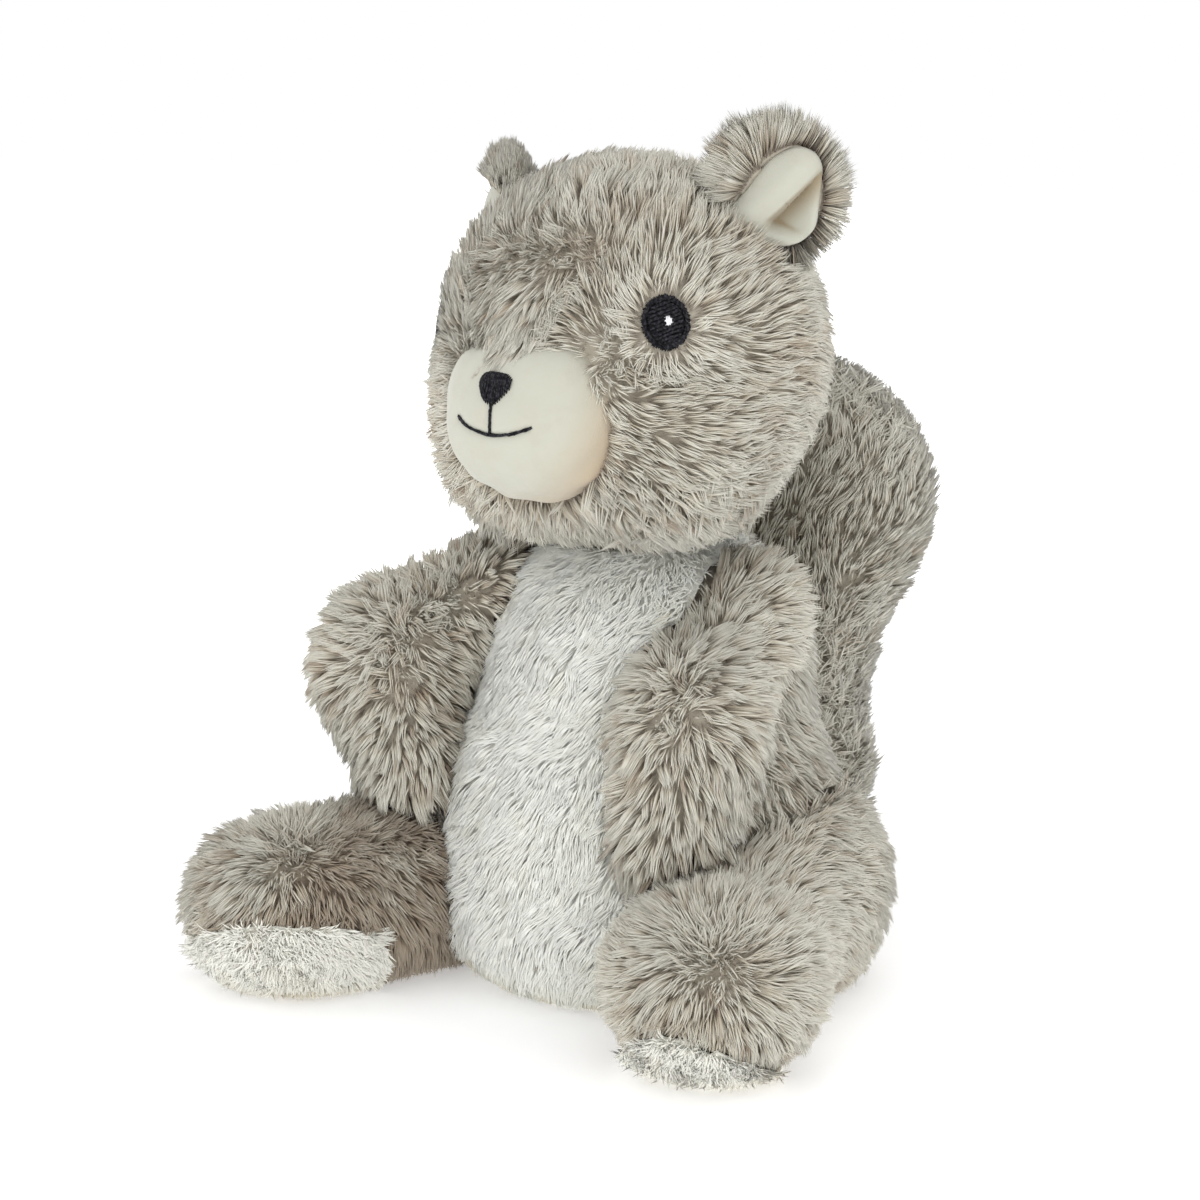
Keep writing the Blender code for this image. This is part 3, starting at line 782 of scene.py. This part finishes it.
def fur_piece(node, slot, surface, flow, pile, neighbours, tone=0.62, depth=None,
              shell=None, holes=(), bare=1, fringes=()):
    """A form's skin and pile as one piece that stands for its node.

    tone, depth and bare are values, or arrays of one for each vertex. fringes are more strands on
    the same skin, each as (weights, flow, pile).
    """
    gap = clearance(surface, neighbours, PAINTED_SHADE_REACH)
    room = smooth_step(gap, *CLEAR_GAPS)
    under = smooth_step(surface.co[:, 2], 1.2 * MM, 5 * MM)
    facing_down = smooth_step(-surface.normals[:, 2], 0.55, 0.85)
    room = room * (1 - (1 - under) * facing_down) * bare
    resting = smooth_step(surface.co[:, 2], 1 * MM, 14 * MM) * 0.85 + 0.15
    depth = pile.depth if depth is None else depth
    depth = depth * np.where(surface.normals[:, 2] < 0, resting, 1)
    patches = 0.13 * waves(surface.co, 26 * MM, pile.seed) + 0.09 * waves(surface.co, 9 * MM, 50)
    # Painted shade: the pile's tone is darker near the floor, where the toy shades it, and near
    # other forms; the patches are the pile's own uneven tone.
    low = smooth_step(surface.co[:, 2], 16 * MM, 2 * MM)
    tone = tone + patches - 0.25 * low - 0.22 * smooth_step(gap, PAINTED_SHADE_REACH, 2 * MM)
    bend = 0.35 * waves(surface.co, 22 * MM, pile.seed + 20)[:, None]
    flow = combed(surface, flow)
    room = room * (1 + 0.9 * (1 - lengths(flow)[:, 0]))
    flow = flow + bend * np.cross(surface.normals, flow)
    grown = [grow(surface, flow, room, depth, tone, pile)]
    grown += [grow(surface, combed(surface, way), room * weights, depth, tone, kind)
              for weights, way, kind in fringes]
    root, middle, tip, shade, normal = (np.concatenate(a) for a in zip(*grown))
    for hole in holes:
        kept = ~hole.holds(root)
        root, middle, tip, shade, normal = (a[kept] for a in (root, middle, tip, shade, normal))
        middle, tip = hole.clear(middle), hole.clear(tip)
    root[:, 2] = np.maximum(root[:, 2], 0.5 * MM)
    middle[:, 2] = np.maximum(middle[:, 2], 0.8 * MM)
    tip[:, 2] = np.maximum(tip[:, 2], 0.3 * MM)
    rng = np.random.default_rng(pile.seed + 100)
    strands = strands_part(root, middle, tip, shade, normal, pile, rng)
    if shell is None:
        skin = skin_part(surface, depth, tone)
    else:
        skin = shell_part(surface, depth, shell, tone)
    mesh = build_mesh(node + "_plush", [skin, strands])
    dress(node + "_plush", mesh, node, slot)


EYES = {side: HEAD_FRAME @ facing((0, 0, 0), azimuth, EYE_ELEVATION)
        for side, azimuth in EYE_AZIMUTHS.items()}
HEAD_SURFACE = smooth_form("head", 3.6 * MM, 4)


def make_head():
    surface = HEAD_SURFACE
    pile = Pile(seed=3, density=0.76, loose=0.3)
    depth, tone, bare = pile.depth, 0.6, 1
    flow = head_flow(surface)
    for side, shallow in EYE_DEPTHS.items():
        centre = np.array(box_centre(f"{side}_eye"))
        far = lengths(surface.co - centre)[:, 0]
        near = smooth_step(far, 20 * MM, 9 * MM)
        depth = depth - near * (pile.depth - shallow)
        tone = tone + 0.28 * near
        bare = bare + 0.7 * smooth_step(far, 15 * MM, 10 * MM)
        near = smooth_step(far, 17 * MM, 9 * MM)[:, None]
        flow = flow * (1 - near) + near * away_from(surface.co, centre, 3 * MM)
    gap = clearance(surface, ["muzzle"], 14 * MM)
    rim = smooth_step(gap, 13 * MM, 1 * MM)
    depth = np.minimum(depth, pile.depth - rim * (pile.depth - 2.2 * MM))
    bare += 0.5 * smooth_step(rim, 0.5, 0.9)
    azimuth, elevation, _ = head_angles(surface.co)
    hump = smooth_step(np.abs(azimuth), 7, 12) * smooth_step(np.abs(azimuth), 33, 25)
    bare *= 1 - hump * smooth_step(elevation, -6, 0) * smooth_step(gap, 6 * MM, 3 * MM)
    holes = [Dome(MUZZLE_FRAME, MUZZLE_SIZE + Vector([MM] * 3))]
    holes += [Oval(place, EYE_WIDTH * 1.03, EYE_HEIGHT * 1.03, 30 * MM) for place in EYES.values()]
    near = ["torso", "belly_panel", "left_arm", "right_arm", "tail"]
    fur_piece("head", "grey_fur", surface, flow, pile, near, tone, depth, holes=holes,
              bare=bare, fringes=[brow_fringe(surface), chin_fringe(surface)])


def brow_fringe(surface):
    """Longer hair that falls from the brow over the muzzle's top, to a point in its middle."""
    azimuth, elevation, local = head_angles(surface.co)
    above = smooth_step(elevation, 2, 8) * smooth_step(elevation, 27, 15)
    weights = above * smooth_step(np.abs(azimuth), 17, 7)
    out = np.array(HEAD_FRAME)[:3, :3]
    flow = np.stack([-local[:, 0] * 22, np.zeros(len(local)), np.full(len(local), -1.0)], axis=1)
    return weights, flow @ out.T, Pile(seed=4, density=1.6, width=0.4, lie=2.4, clump=4.5,
                                       gather=0.75, length=11.5, uneven=0.2, ruffle=0.15)


def chin_fringe(surface):
    """Longer tufts that hang from the jaw."""
    azimuth, elevation, local = head_angles(surface.co)
    below = smooth_step(elevation, -22, -34) * smooth_step(elevation, -66, -54)
    weights = below * smooth_step(np.abs(azimuth), 110, 80)
    flow = np.tile(DOWN, (len(local), 1)) + 0.5 * unit(surface.co - np.array(box_centre("head")))
    return weights, flow, Pile(seed=6, density=0.35, lie=1.2, clump=6.5, gather=0.8, length=9.5,
                               uneven=0.2)


def make_torso():
    surface = smooth_form("torso", 4 * MM, 4)
    pile = Pile(seed=5, density=0.75)
    flow = np.tile(DOWN, (len(surface.co), 1)) * 0.9
    near = ["head", "belly_panel", "left_arm", "right_arm", "left_leg", "right_leg", "tail"]
    # Painted light: the torso's pile has a lighter tone than the other grey pile, to brighten its
    # side.
    fur_piece("torso", "grey_fur", surface, flow, pile, near, 0.75)


def make_belly():
    surface = outer_patch("belly_panel", "torso", 2)
    pile = Pile(seed=7, depth=2.2, density=1.4, lie=2.1, gather=0.38, uneven=0.2, ruffle=0.4,
                width=0.53, clump=4.0, roll=0.12)
    flow = np.tile(DOWN + np.array([-0.3, 0, 0]), (len(surface.co), 1))
    near = ["head", "left_arm", "right_arm", "left_leg", "right_leg"]
    # Darker and tanner towards the bottom: partly painted shade near the floor, partly the brown
    # fringe at the belly's lower edge.
    tone = 0.95 - 0.5 * smooth_step(surface.co[:, 2], 20 * MM, 5 * MM)
    fur_piece("belly_panel", "white_fur", surface, flow, pile, near, tone, shell=2 * MM)


def make_arm(side, seed):
    node = f"{side}_arm"
    surface = smooth_form(node, 3.6 * MM, 4)
    pile = Pile(seed=seed, gather=0.68)
    upper, lower = (photo_point(p, node) for p in ARM_WHORLS[side])
    flow = 0.6 * away_from(surface.co, upper) + 0.7 * away_from(surface.co, lower)
    far = lengths(surface.co - lower)
    flow += DOWN * 0.75 * (1 - np.exp(-(far / (20 * MM)) ** 2))
    near = ["torso", "head", "belly_panel", "left_leg", "right_leg"]
    fur_piece(node, "grey_fur", surface, flow, pile, near)


def make_leg(side, seed):
    node = f"{side}_leg"
    surface = smooth_form(node, 3.8 * MM, 4)
    pile = Pile(seed=seed)
    toe = photo_point(TOE_WHORLS[side], node)
    flow = away_from(surface.co, toe, 9 * MM)
    behind = smooth_step(surface.co[:, 1], -45 * MM, 5 * MM)[:, None]
    flow = flow * (1 - 0.6 * behind) + DOWN * 0.7 * behind
    near = ["torso", "belly_panel", f"{side}_arm", f"{side}_sole", "tail"]
    tone = 0.64
    if side == "right":
        # Painted shade: the right shin's pile is darker where the belly shades it; its flow turns
        # down there too.
        shaded_shin = smooth_step(surface.co[:, 0], -88 * MM, -64 * MM)
        shaded_shin *= smooth_step(surface.co[:, 1], -15 * MM, -45 * MM)
        tone = tone - 0.55 * shaded_shin
        flow = flow * (1 - 0.6 * shaded_shin[:, None]) + DOWN * 0.7 * shaded_shin[:, None]
    gap = clearance(surface, [f"{side}_sole"])
    depth = pile.depth - 2 * MM * smooth_step(gap, 8 * MM, 1 * MM)
    fur_piece(node, "grey_fur", surface, flow, pile, near, tone, depth,
              fringes=[sole_fringe(surface, gap, side, seed)])


def sole_fringe(surface, gap, side, seed):
    """Longer hair that hangs over the sole's upper edge."""
    middle = np.array(box_centre(f"{side}_sole"))
    above = smooth_step(surface.co[:, 2], middle[2] - 3 * MM, middle[2] + 6 * MM)
    weights = above * smooth_step(gap, 6 * MM, 3 * MM)
    return weights, unit(middle - surface.co) + DOWN * 0.4, Pile(
        seed=seed + 1, density=0.8, width=0.42, lie=1.3, clump=4.5, gather=0.5, length=9,
        uneven=0.25)


def make_sole(side, seed):
    node = f"{side}_sole"
    surface = outer_patch(node, f"{side}_leg", 2)
    pile = Pile(seed=seed, depth=1.6, density=2.0, lie=3.2, length=6, gather=0.35, ruffle=0.25,
                clump=4.5, width=0.55, roll=0.05)
    centre = np.array(box_centre(node))
    flow = 0.6 * away_from(surface.co, centre, 8 * MM) + DOWN * 0.6
    # Painted shade: the sole's pile is darker and tanner towards the floor.
    tone = 0.95 - 0.5 * smooth_step(surface.co[:, 2], 9 * MM, 3 * MM)
    fur_piece(node, "cream_fur", surface, flow, pile, [], tone, shell=1.5 * MM)


def make_tail():
    surface = smooth_form("tail", 3.8 * MM, 4)
    pile = Pile(seed=17, density=0.78, width=0.52)
    co = surface.co
    middle = np.stack([np.zeros(len(co)), 75 * MM + 0.2 * co[:, 2], co[:, 2]], axis=1)
    outwards = unit(co - middle)
    bulb = smooth_step(co[:, 2], TAIL_WAIST, TAIL_WAIST + 25 * MM)[:, None]
    flow = outwards * 0.7 - DOWN * (0.6 + 0.4 * bulb)
    folds = np.zeros(len(co))
    for i in range(5):
        height = TAIL_WAIST - 8 * MM + 7.5 * MM * i
        height = height + 2.2 * MM * waves(co * [1, 1, 0.2], 60 * MM, 30 + i)
        folds += np.exp(-((co[:, 2] - height) / (1.7 * MM)) ** 2) * (1 - 0.16 * i)
    depth = pile.depth + 2.2 * MM * np.clip(folds, 0, 1)
    near = ["torso", "head", "left_leg", "right_leg"]
    # Painted shade: the bulb is a little darker where the head shades it, and the pile darker in
    # the folds' creases.
    tone = 0.88 - 0.13 * bulb[:, 0] - 0.35 * np.clip(folds, 0, 1)
    fur_piece("tail", "grey_fur", surface, flow, pile, near, tone, depth)


def tube(points, radius, sides=6):
    """A closed thread along points, thinning to its two ends."""
    points = np.asarray(points, float)
    count = len(points)
    along = unit(np.gradient(points, axis=0))
    side = unit(np.cross(along, np.array([0.31, 0.17, 0.94])))
    other = np.cross(along, side)
    share = np.linspace(0, 1, count)
    thick = radius * (0.35 + 0.65 * np.clip(np.minimum(share, 1 - share) * 5, 0, 1) ** 0.5)
    angles = np.arange(sides) * 2 * math.pi / sides
    round_ = (np.cos(angles)[None, :, None] * side[:, None]
              + np.sin(angles)[None, :, None] * other[:, None])
    rings = points[:, None] + round_ * thick[:, None, None]
    co = np.concatenate([rings.reshape(-1, 3), points[:1], points[-1:]])
    tris = []
    for i in range(count - 1):
        for j in range(sides):
            a, b = i * sides + j, i * sides + (j + 1) % sides
            tris += [(a, b, b + sides), (a, b + sides, a + sides)]
    first, last = count * sides, count * sides + 1
    for j in range(sides):
        a, b = j, (j + 1) % sides
        tris += [(first, b, a), (last, a + first - sides, b + first - sides)]
    return co, np.array(tris, dtype=np.int32)


class Cloth:
    """A surface to embroider: places on it are found straight in from a flat frame's X and Y."""

    def __init__(self, tree, place, sunk=0):
        self.tree = tree
        self.place = place
        self.sunk = sunk
        self.out = (place.to_3x3() @ Vector((0, 0, 1))).normalized()

    def at(self, x, y, rise):
        start = self.place @ Vector((x, y, 0)) + self.out * 0.12
        hit, normal, _, _ = self.tree.ray_cast(start, -self.out)
        if hit is None:
            hit, normal, _, _ = self.tree.find_nearest(self.place @ Vector((x, y, 0)))
        return np.array(hit + normal * (rise - self.sunk))

    def thread(self, flat, radius, rises):
        return tube([self.at(x, y, rise) for (x, y), rise in zip(flat, rises)], radius)


def padding(cloth, outline, height, rings=7, count=48):
    """A closed low dome under a patch of stitches; outline gives a point for a turn 0 to 1."""
    points, tris = [], []
    for i in range(rings + 1):
        share = i / rings
        rise = height * math.sqrt(max(1 - share**2, 0)) - 0.6 * MM * (share == 1)
        for j in range(count):
            x, y = outline(j / count)
            points.append(cloth.at(x * share, y * share, rise))
    for i in range(rings):
        for j in range(count):
            a, b = i * count + j, i * count + (j + 1) % count
            if i:
                tris.append((a, b + count, b))
            tris.append((a, a + count, b + count))
    low = len(points)
    points.append(cloth.at(0, 0, -1.2 * MM))
    last = rings * count
    tris += [(low, last + (j + 1) % count, last + j) for j in range(count)]
    return np.array(points), np.array(tris, dtype=np.int32)


def satin(cloth, outline, angle, pitch, radius, height, jitter, rng, stitch=None):
    """Parallel threads that fill an outline, laid at an angle over its padding."""
    c, s = math.cos(angle), math.sin(angle)
    edge = np.array([outline(i / 180) for i in range(180)])
    across = edge @ np.array([-s, c])
    along = edge @ np.array([c, s])
    parts = []
    rows = int((across.max() - across.min()) / pitch)
    reach = max(across.max(), -across.min())
    for i in range(rows + 1):
        row = across.min() + (i + 0.5) * pitch
        crossings = along[np.abs(across - row) < ROW_REACH]
        if len(crossings) < 2 or crossings.max() - crossings.min() < radius * 3:
            continue
        start = crossings.min() - rng.uniform(0, jitter)
        end = crossings.max() + rng.uniform(0, jitter)
        steps = max(int((end - start) / (0.7 * MM)), 5)
        t = np.linspace(start, end, steps)
        flat = [(c * a - s * row, s * a + c * row) for a in t]
        bow = np.sqrt(np.clip(1 - (row / reach) ** 2, 0, 1))
        share = np.clip(1 - ((t - (start + end) / 2) / ((end - start) / 2)) ** 2, 0, 1)
        rises = height * bow * np.sqrt(share) + radius * 0.5 - 0.25 * MM * (share < 0.02)
        if stitch:
            phase = (i % 3) * stitch / 3
            rises = rises - 0.28 * radius * (np.cos((t + phase) * 2 * math.pi / stitch) > 0.6)
        parts.append(cloth.thread(flat, radius * rng.uniform(0.92, 1.08), rises))
    return parts


STITCHES = (facing((0, 0, 0), STITCHES_AZIMUTH, 0)
            @ Matrix.Rotation(math.radians(STITCHES_ROLL), 4, "Z"))


def smile_height(x):
    """The smile's height over the muzzle's middle."""
    return MOUTH_SAG * (2 * x / MOUTH_WIDTH) ** 2 - MOUTH_DROP


def make_muzzle():
    """A stuffed velour dome: a dent under the brow, fuller cheeks, and the stitches' pull."""
    mesh = ball("muzzle_plush", 6)
    way = read(mesh.vertices, "co", 3)
    local = way * np.array(MUZZLE_SIZE) / 2
    x, z = local[:, 0], local[:, 2]
    front = smooth_step(-way[:, 1], 0.0, 0.5)
    push = -2.2 * MM * np.exp(-(x / (5 * MM)) ** 2) * smooth_step(way[:, 2], 0.45, 0.95)
    for side in (1, -1):
        lobe = np.hypot(x - side * 14 * MM, z + 9 * MM)
        push += 1.3 * MM * np.exp(-(lobe / (10 * MM)) ** 2) * front
        hump = np.hypot(x - side * 19 * MM, z - 17 * MM)
        push += 2.4 * MM * np.exp(-(hump / (8.5 * MM)) ** 2)
    flat = local @ np.array(STITCHES)[:3, :3]
    u, v = flat[:, 0], flat[:, 1]
    smile = np.abs(v - smile_height(u)) + 3 * np.maximum(np.abs(u) - MOUTH_WIDTH / 2, 0)
    line = np.hypot(u, np.maximum(smile_height(0) - v, 0) + np.maximum(v - NOSE_RISE, 0))
    pull = np.minimum(smile, line)
    push -= 0.9 * MM * np.exp(-(pull / (1.5 * MM)) ** 2) * front
    push += 0.3 * MM * waves(local, 13 * MM, 61)
    local += way * push[:, None]
    co = placed(local, MUZZLE_FRAME)
    mesh.vertices.foreach_set("co", co.astype(np.float32).ravel())
    mesh.update()
    mesh.shade_smooth()
    dress("muzzle_plush", mesh, "muzzle", "cream_velour")
    return Cloth(tree_of(mesh), MUZZLE_FRAME @ STITCHES)


def nose_outline(turn):
    t = 2 * math.pi * turn
    reach = (1 + NOSE_POINT * math.cos(3 * (t + math.pi / 2))) / 2
    taper = 1 + NOSE_TAPER * math.sin(t)
    return NOSE_WIDTH * reach * math.cos(t) * taper, NOSE_HEIGHT * reach * math.sin(t)


def make_nose(cloth):
    """Vertical satin stitches over a padded triangle with round corners."""
    rng = np.random.default_rng(71)
    place = cloth.place @ Matrix.Translation((0, NOSE_RISE, 0))
    here = Cloth(cloth.tree, place)
    parts = [padding(here, nose_outline, 1.2 * MM)]
    parts += satin(here, nose_outline, math.pi / 2, 0.62 * MM, 0.4 * MM, 1.3 * MM,
                   0.12 * MM, rng)
    embroider("nose_stitches", parts, "nose", "black_thread")


def make_mouth(cloth):
    """The smile and the line under the nose, in short overlapping back stitches."""
    rng = np.random.default_rng(73)
    smile = [(MOUTH_WIDTH * (t - 0.5), smile_height(MOUTH_WIDTH * (t - 0.5)))
             for t in np.linspace(0, 1, 13)]
    top = NOSE_RISE - NOSE_HEIGHT * 0.5
    line = [(0.25 * MM * math.sin(3 * t), smile_height(0) + (top - smile_height(0)) * t)
            for t in np.linspace(0, 1, 6)]
    parts = []
    for route in (smile, line):
        for (x0, y0), (x1, y1) in zip(route, route[1:]):
            for lane in (-0.22, 0.22):
                t = np.linspace(-0.18, 1.18, 7)
                slip = lane * MM + rng.normal(0, 0.06) * MM
                dx, dy = x1 - x0, y1 - y0
                far = math.hypot(dx, dy)
                flat = [(x0 + dx * a - dy / far * slip, y0 + dy * a + dx / far * slip) for a in t]
                rises = 0.3 * MM * np.sin(np.linspace(0, math.pi, 7)) + 0.12 * MM
                parts.append(cloth.thread(flat, 0.34 * MM, rises))
    embroider("mouth_stitches", parts, "mouth_stitching", "black_thread")


def oval_outline(width, height):
    def outline(turn):
        t = 2 * math.pi * turn
        return width / 2 * math.cos(t), height / 2 * math.sin(t)
    return outline


def make_eye(side, tree):
    """Slanting rows of satin stitch inside a raised rim of short radial stitches."""
    rng = np.random.default_rng(75 + len(side))
    cloth = Cloth(tree, EYES[side], EYE_SUNK[side])
    base, inner = (oval_outline(EYE_WIDTH - share * EYE_RIM, EYE_HEIGHT - share * EYE_RIM)
                   for share in (0.5, 2.1))
    parts = [padding(cloth, base, 0.5 * MM)]
    slant = math.radians(EYE_SLANT[side])
    parts += satin(cloth, inner, slant, 1.1 * MM, 0.6 * MM, 0.45 * MM, 0.1 * MM, rng, 4.2 * MM)
    for i in range(RIM_STITCHES):
        t = 2 * math.pi * (i + rng.uniform(-0.2, 0.2)) / RIM_STITCHES
        x, y = EYE_WIDTH / 2 * math.cos(t), EYE_HEIGHT / 2 * math.sin(t)
        start = 1.0 + rng.uniform(0.0, 0.08)
        steps = np.linspace(start, 1 - 2 * EYE_RIM / EYE_WIDTH, 6)
        flat = [(x * a - y * RIM_LEAN * (1 - a) * 4, y * a + x * RIM_LEAN * (1 - a) * 4)
                for a in steps]
        rises = 0.75 * MM * np.sin(np.linspace(0.1, math.pi * 0.92, 6)) ** 0.7
        parts.append(cloth.thread(flat, 0.27 * MM, rises))
    embroider(f"{side}_eye_stitches", parts, f"{side}_eye", "black_thread")
    spot = cloth.place.inverted() @ box_centre(f"{side}_eye_glint") + GLINT_STEP[side]
    here = Cloth(tree, cloth.place @ Matrix.Translation((spot.x, spot.y, 0)), EYE_SUNK[side])
    outline = oval_outline(*GLINT_SIZE)
    parts = [padding(here, outline, 1.0 * MM, 4, 20)]
    parts += satin(here, outline, math.pi / 2, 0.42 * MM, 0.26 * MM, 1.15 * MM, 0.1 * MM, rng)
    embroider(f"{side}_glint_stitches", parts, f"{side}_eye_glint", "white_thread")


def round_trip(points, turn):
    """A place on a smooth closed curve through points, turn from 0 to 1."""
    count = len(points)
    i, f = int(turn * count) % count, turn * count % 1
    a, b, c, d = (np.array(points[(i + k) % count], float) for k in (-1, 0, 1, 2))
    return 0.5 * (2 * b + (c - a) * f + (2 * a - 5 * b + 4 * c - d) * f**2
                  + (3 * b - a - 3 * c + d) * f**3)


def beyond_ridge(x, z):
    """How far a place is to the hollow's side of the ridge."""
    way = (RIDGE_LOW - RIDGE_TOP) / np.linalg.norm(RIDGE_LOW - RIDGE_TOP)
    return (x - RIDGE_TOP[0]) * -way[1] + (z - RIDGE_TOP[1]) * way[0]


def hollow_shade(x, z):
    """How deep in the hollow's shade a place is, 0 to 1: most by the ridge and in the crease."""
    inside = float(smooth_step(beyond_ridge(x, z), -0.3, 0.9))
    fade = float(smooth_step(beyond_ridge(x, z), 8.5, 1.5))
    above = CREASE_HEIGHT - CREASE_FALL * x - z
    wall = float(smooth_step(above, 1.2, -0.6))
    crease = math.exp(-(above / 0.9) ** 2) * float(smooth_step(x, 11.5, 7))
    lip = 0.45 * math.exp(-(max(above, 0) / 2.5) ** 2)
    return inside * min(max(0.9 * fade * wall, lip * fade) + 0.6 * crease, 1)


def lining_depth(x, z, share):
    """How far the lining lies behind the ear's middle plane: a flap, its ridge and a hollow."""
    right_of_ridge = beyond_ridge(x, z)
    wall = 0.85 * max(13.4 - x, 0)
    lip = min(max(1 - (CREASE_HEIGHT - CREASE_FALL * x - z) / 4.2, 0), 1)
    pit = min(5 * max(right_of_ridge, 0), wall) * lip
    pit = HOLLOW_DEPTH * math.tanh(pit / HOLLOW_DEPTH)
    flap = 2.2 * math.exp(-((right_of_ridge + 4.5) / 4.2) ** 2) * (1 - share**4)
    return 0.4 - flap + pit + 1.6 * share**8


def ear_frame(side):
    sign = SIGNS[side]
    way = direction(sign * EAR_AZIMUTH, EAR_ELEVATION)
    root = way / math.sqrt(sum((2 * w / s) ** 2 for w, s in zip(way, SKULL_SIZE)))
    angles = Euler((0, math.radians(sign * EAR_SPLAY[side]), math.radians(sign * EAR_TURN)))
    turn = angles.to_matrix().to_4x4()
    return HEAD_FRAME @ Matrix.Translation(root) @ turn @ Matrix.Translation(EAR_CENTRE)


def lining_mesh(side, rings=20, count=66):
    """Velour folded into the ear, in the ear's own frame: a flap that stands over a hollow."""
    sign = SIGNS[side]
    shape = bmesh.new()
    middle = shape.verts.new(Vector((sign * LINING_MIDDLE[0],
                                     lining_depth(*LINING_MIDDLE, 0), LINING_MIDDLE[1])) * MM)
    last = [middle] * count
    for i in range(1, rings + 1):
        share = i / rings
        ring = []
        for j in range(count):
            x, z = LINING_MIDDLE + (round_trip(LINING_EDGE, j / count) - LINING_MIDDLE) * share
            y = lining_depth(x, z, share)
            ring.append(shape.verts.new(Vector((sign * x, y, z)) * MM))
        for j in range(count):
            k = (j + 1) % count
            shape.faces.new([last[j], ring[j], ring[k]] + ([last[k]] if i > 1 else []))
        last = ring
    bmesh.ops.recalc_face_normals(shape, faces=shape.faces)
    rough = new_object("rough_lining", mesh_of(shape, "lining"))
    thick = rough.modifiers.new("thick", "SOLIDIFY")
    thick.thickness = 1.3 * MM
    thick.offset = 0
    mesh = evaluated_mesh(rough)
    bpy.data.objects.remove(rough)
    mesh.shade_smooth()
    # The map's second value is how deep the painted shade of the hollow is.
    layer = mesh.uv_layers.new(name="OFBake")
    for loop in mesh.loops:
        x, _, z = mesh.vertices[loop.vertex_index].co / MM
        layer.data[loop.index].uv = (0.5 + x / 40, min(hollow_shade(sign * x, z), 0.98))
    return mesh


def make_ear(side, seed):
    """A furry flap behind its lining; its pile fans out past the lining's edge."""
    lining = lining_mesh(side)
    behind = tree_of(lining)
    place = ear_frame(side)
    mesh = ball("ear_form", 5)
    local = read(mesh.vertices, "co", 3) * EAR_HALF * MM + np.array([0, EAR_BEHIND, 0]) * MM
    bare = np.ones(len(local))
    for i, point in enumerate(local):
        rear = behind.ray_cast(Vector((point[0], 40 * MM, point[2])), Vector((0, -1, 0)))[0]
        if rear is not None and point[1] < rear.y + LINING_GAP:
            local[i, 1] = rear.y + LINING_GAP
            bare[i] = 0
    surface = Surface(mesh)
    surface.co = placed(local, place)
    surface.update()
    lining.transform(place)
    dress(f"{side}_ear_velour", lining, f"{side}_ear_lining", "cream_velour", EAR_VELOUR)
    middle = Vector((SIGNS[side] * LINING_MIDDLE[0], EAR_BEHIND, LINING_MIDDLE[1])) * MM
    flow = away_from(surface.co, place @ middle, 4 * MM)
    outwards = unit(flow)
    inwards = np.minimum(dot(surface.normals, outwards), 0)
    surface.normals = unit(surface.normals - 1.7 * inwards * outwards)
    pile = Pile(seed=seed, depth=0.8, density=3.1, lie=1.6, length=EAR_HAIR[side], uneven=0.16,
                clump=3.2, gather=0.35, ruffle=0.05, width=0.4, loose=0.15)
    bare *= smooth_step(clearance(surface, ["head"], 6 * MM, 6 * MM), -4 * MM, -1 * MM)
    fur_piece(f"{side}_ear", "grey_fur", surface, flow, pile, [], 0.66, bare=bare)


MUZZLE_CLOTH = make_muzzle()
make_nose(MUZZLE_CLOTH)
make_mouth(MUZZLE_CLOTH)
HEAD_TREE = BVHTree.FromPolygons(HEAD_SURFACE.co.tolist(), HEAD_SURFACE.tris.tolist())
for SIDE, SEED in (("left", 31), ("right", 33)):
    make_eye(SIDE, HEAD_TREE)
    make_ear(SIDE, SEED)
make_head()
make_torso()
make_belly()
for MAKE, SEEDS in ((make_arm, (9, 11)), (make_leg, (13, 15)), (make_sole, (21, 23))):
    for SIDE, SEED in zip(SIGNS, SEEDS):
        MAKE(SIDE, SEED)
make_tail()


def make_floor():
    """A pale floor that keeps the shadow and glows white away from the toy; its faint glow
    everywhere is painted light that lights the toy from below.
    """
    shape = bmesh.new()
    bmesh.ops.create_grid(shape, x_segments=1, y_segments=1, size=4)
    floor = new_object("floor", mesh_of(shape, "floor"))
    material, tree, shader = new_material("floor", 1.0, specular=0)
    place = add_node(tree, "TexCoord").outputs["Object"]
    far = add_node(tree, "VectorMath", {0: place}, operation="LENGTH").outputs["Value"]
    fade = add_node(tree, "MapRange", {"Value": far, **FLOOR_GLOW}).outputs["Result"]
    camera = add_node(tree, "LightPath").outputs["Is Camera Ray"]
    seen = add_node(tree, "Math", {0: camera, 1: fade}, operation="MULTIPLY")
    glow = add_node(tree, "Math", {0: seen.outputs[0], 1: FLOOR_LEAST_GLOW}, operation="MAXIMUM")
    feed(shader, {"Base Color": FLOOR_COLOUR, "Emission Color": (1, 1, 1, 1),
                  "Emission Strength": glow.outputs[0]})
    floor.data.materials.append(material)


def make_surround():
    """White where it is seen, and a little less bright as a light."""
    world = bpy.data.worlds.new("studio")
    world.use_nodes = True
    tree = world.node_tree
    path = add_node(tree, "LightPath")
    seen = path.outputs["Is Camera Ray"]
    for ray in ("Is Glossy Ray", "Is Transmission Ray"):
        seen = add_node(tree, "Math", {0: seen, 1: path.outputs[ray]},
                        operation="MAXIMUM").outputs[0]
    level = add_node(tree, "MapRange", {"Value": seen, "To Min": SURROUND_LEVEL, "To Max": 1.0})
    feed(tree.nodes["Background"], {"Color": (1, 1, 1, 1), "Strength": level.outputs["Result"]})
    bpy.context.scene.world = world


def make_lamp(name, place, size, power):
    data = bpy.data.lights.new(name, "AREA")
    data.size = size
    data.energy = power
    lamp = new_object(name, data)
    lamp.location = place
    lamp.rotation_euler = (Vector(place) - LAMP_TARGET).to_track_quat("Z", "Y").to_euler()


bpy.context.scene.view_settings.view_transform = "Standard"
make_floor()
make_surround()
for LAMP in LAMPS:
    make_lamp(*LAMP)
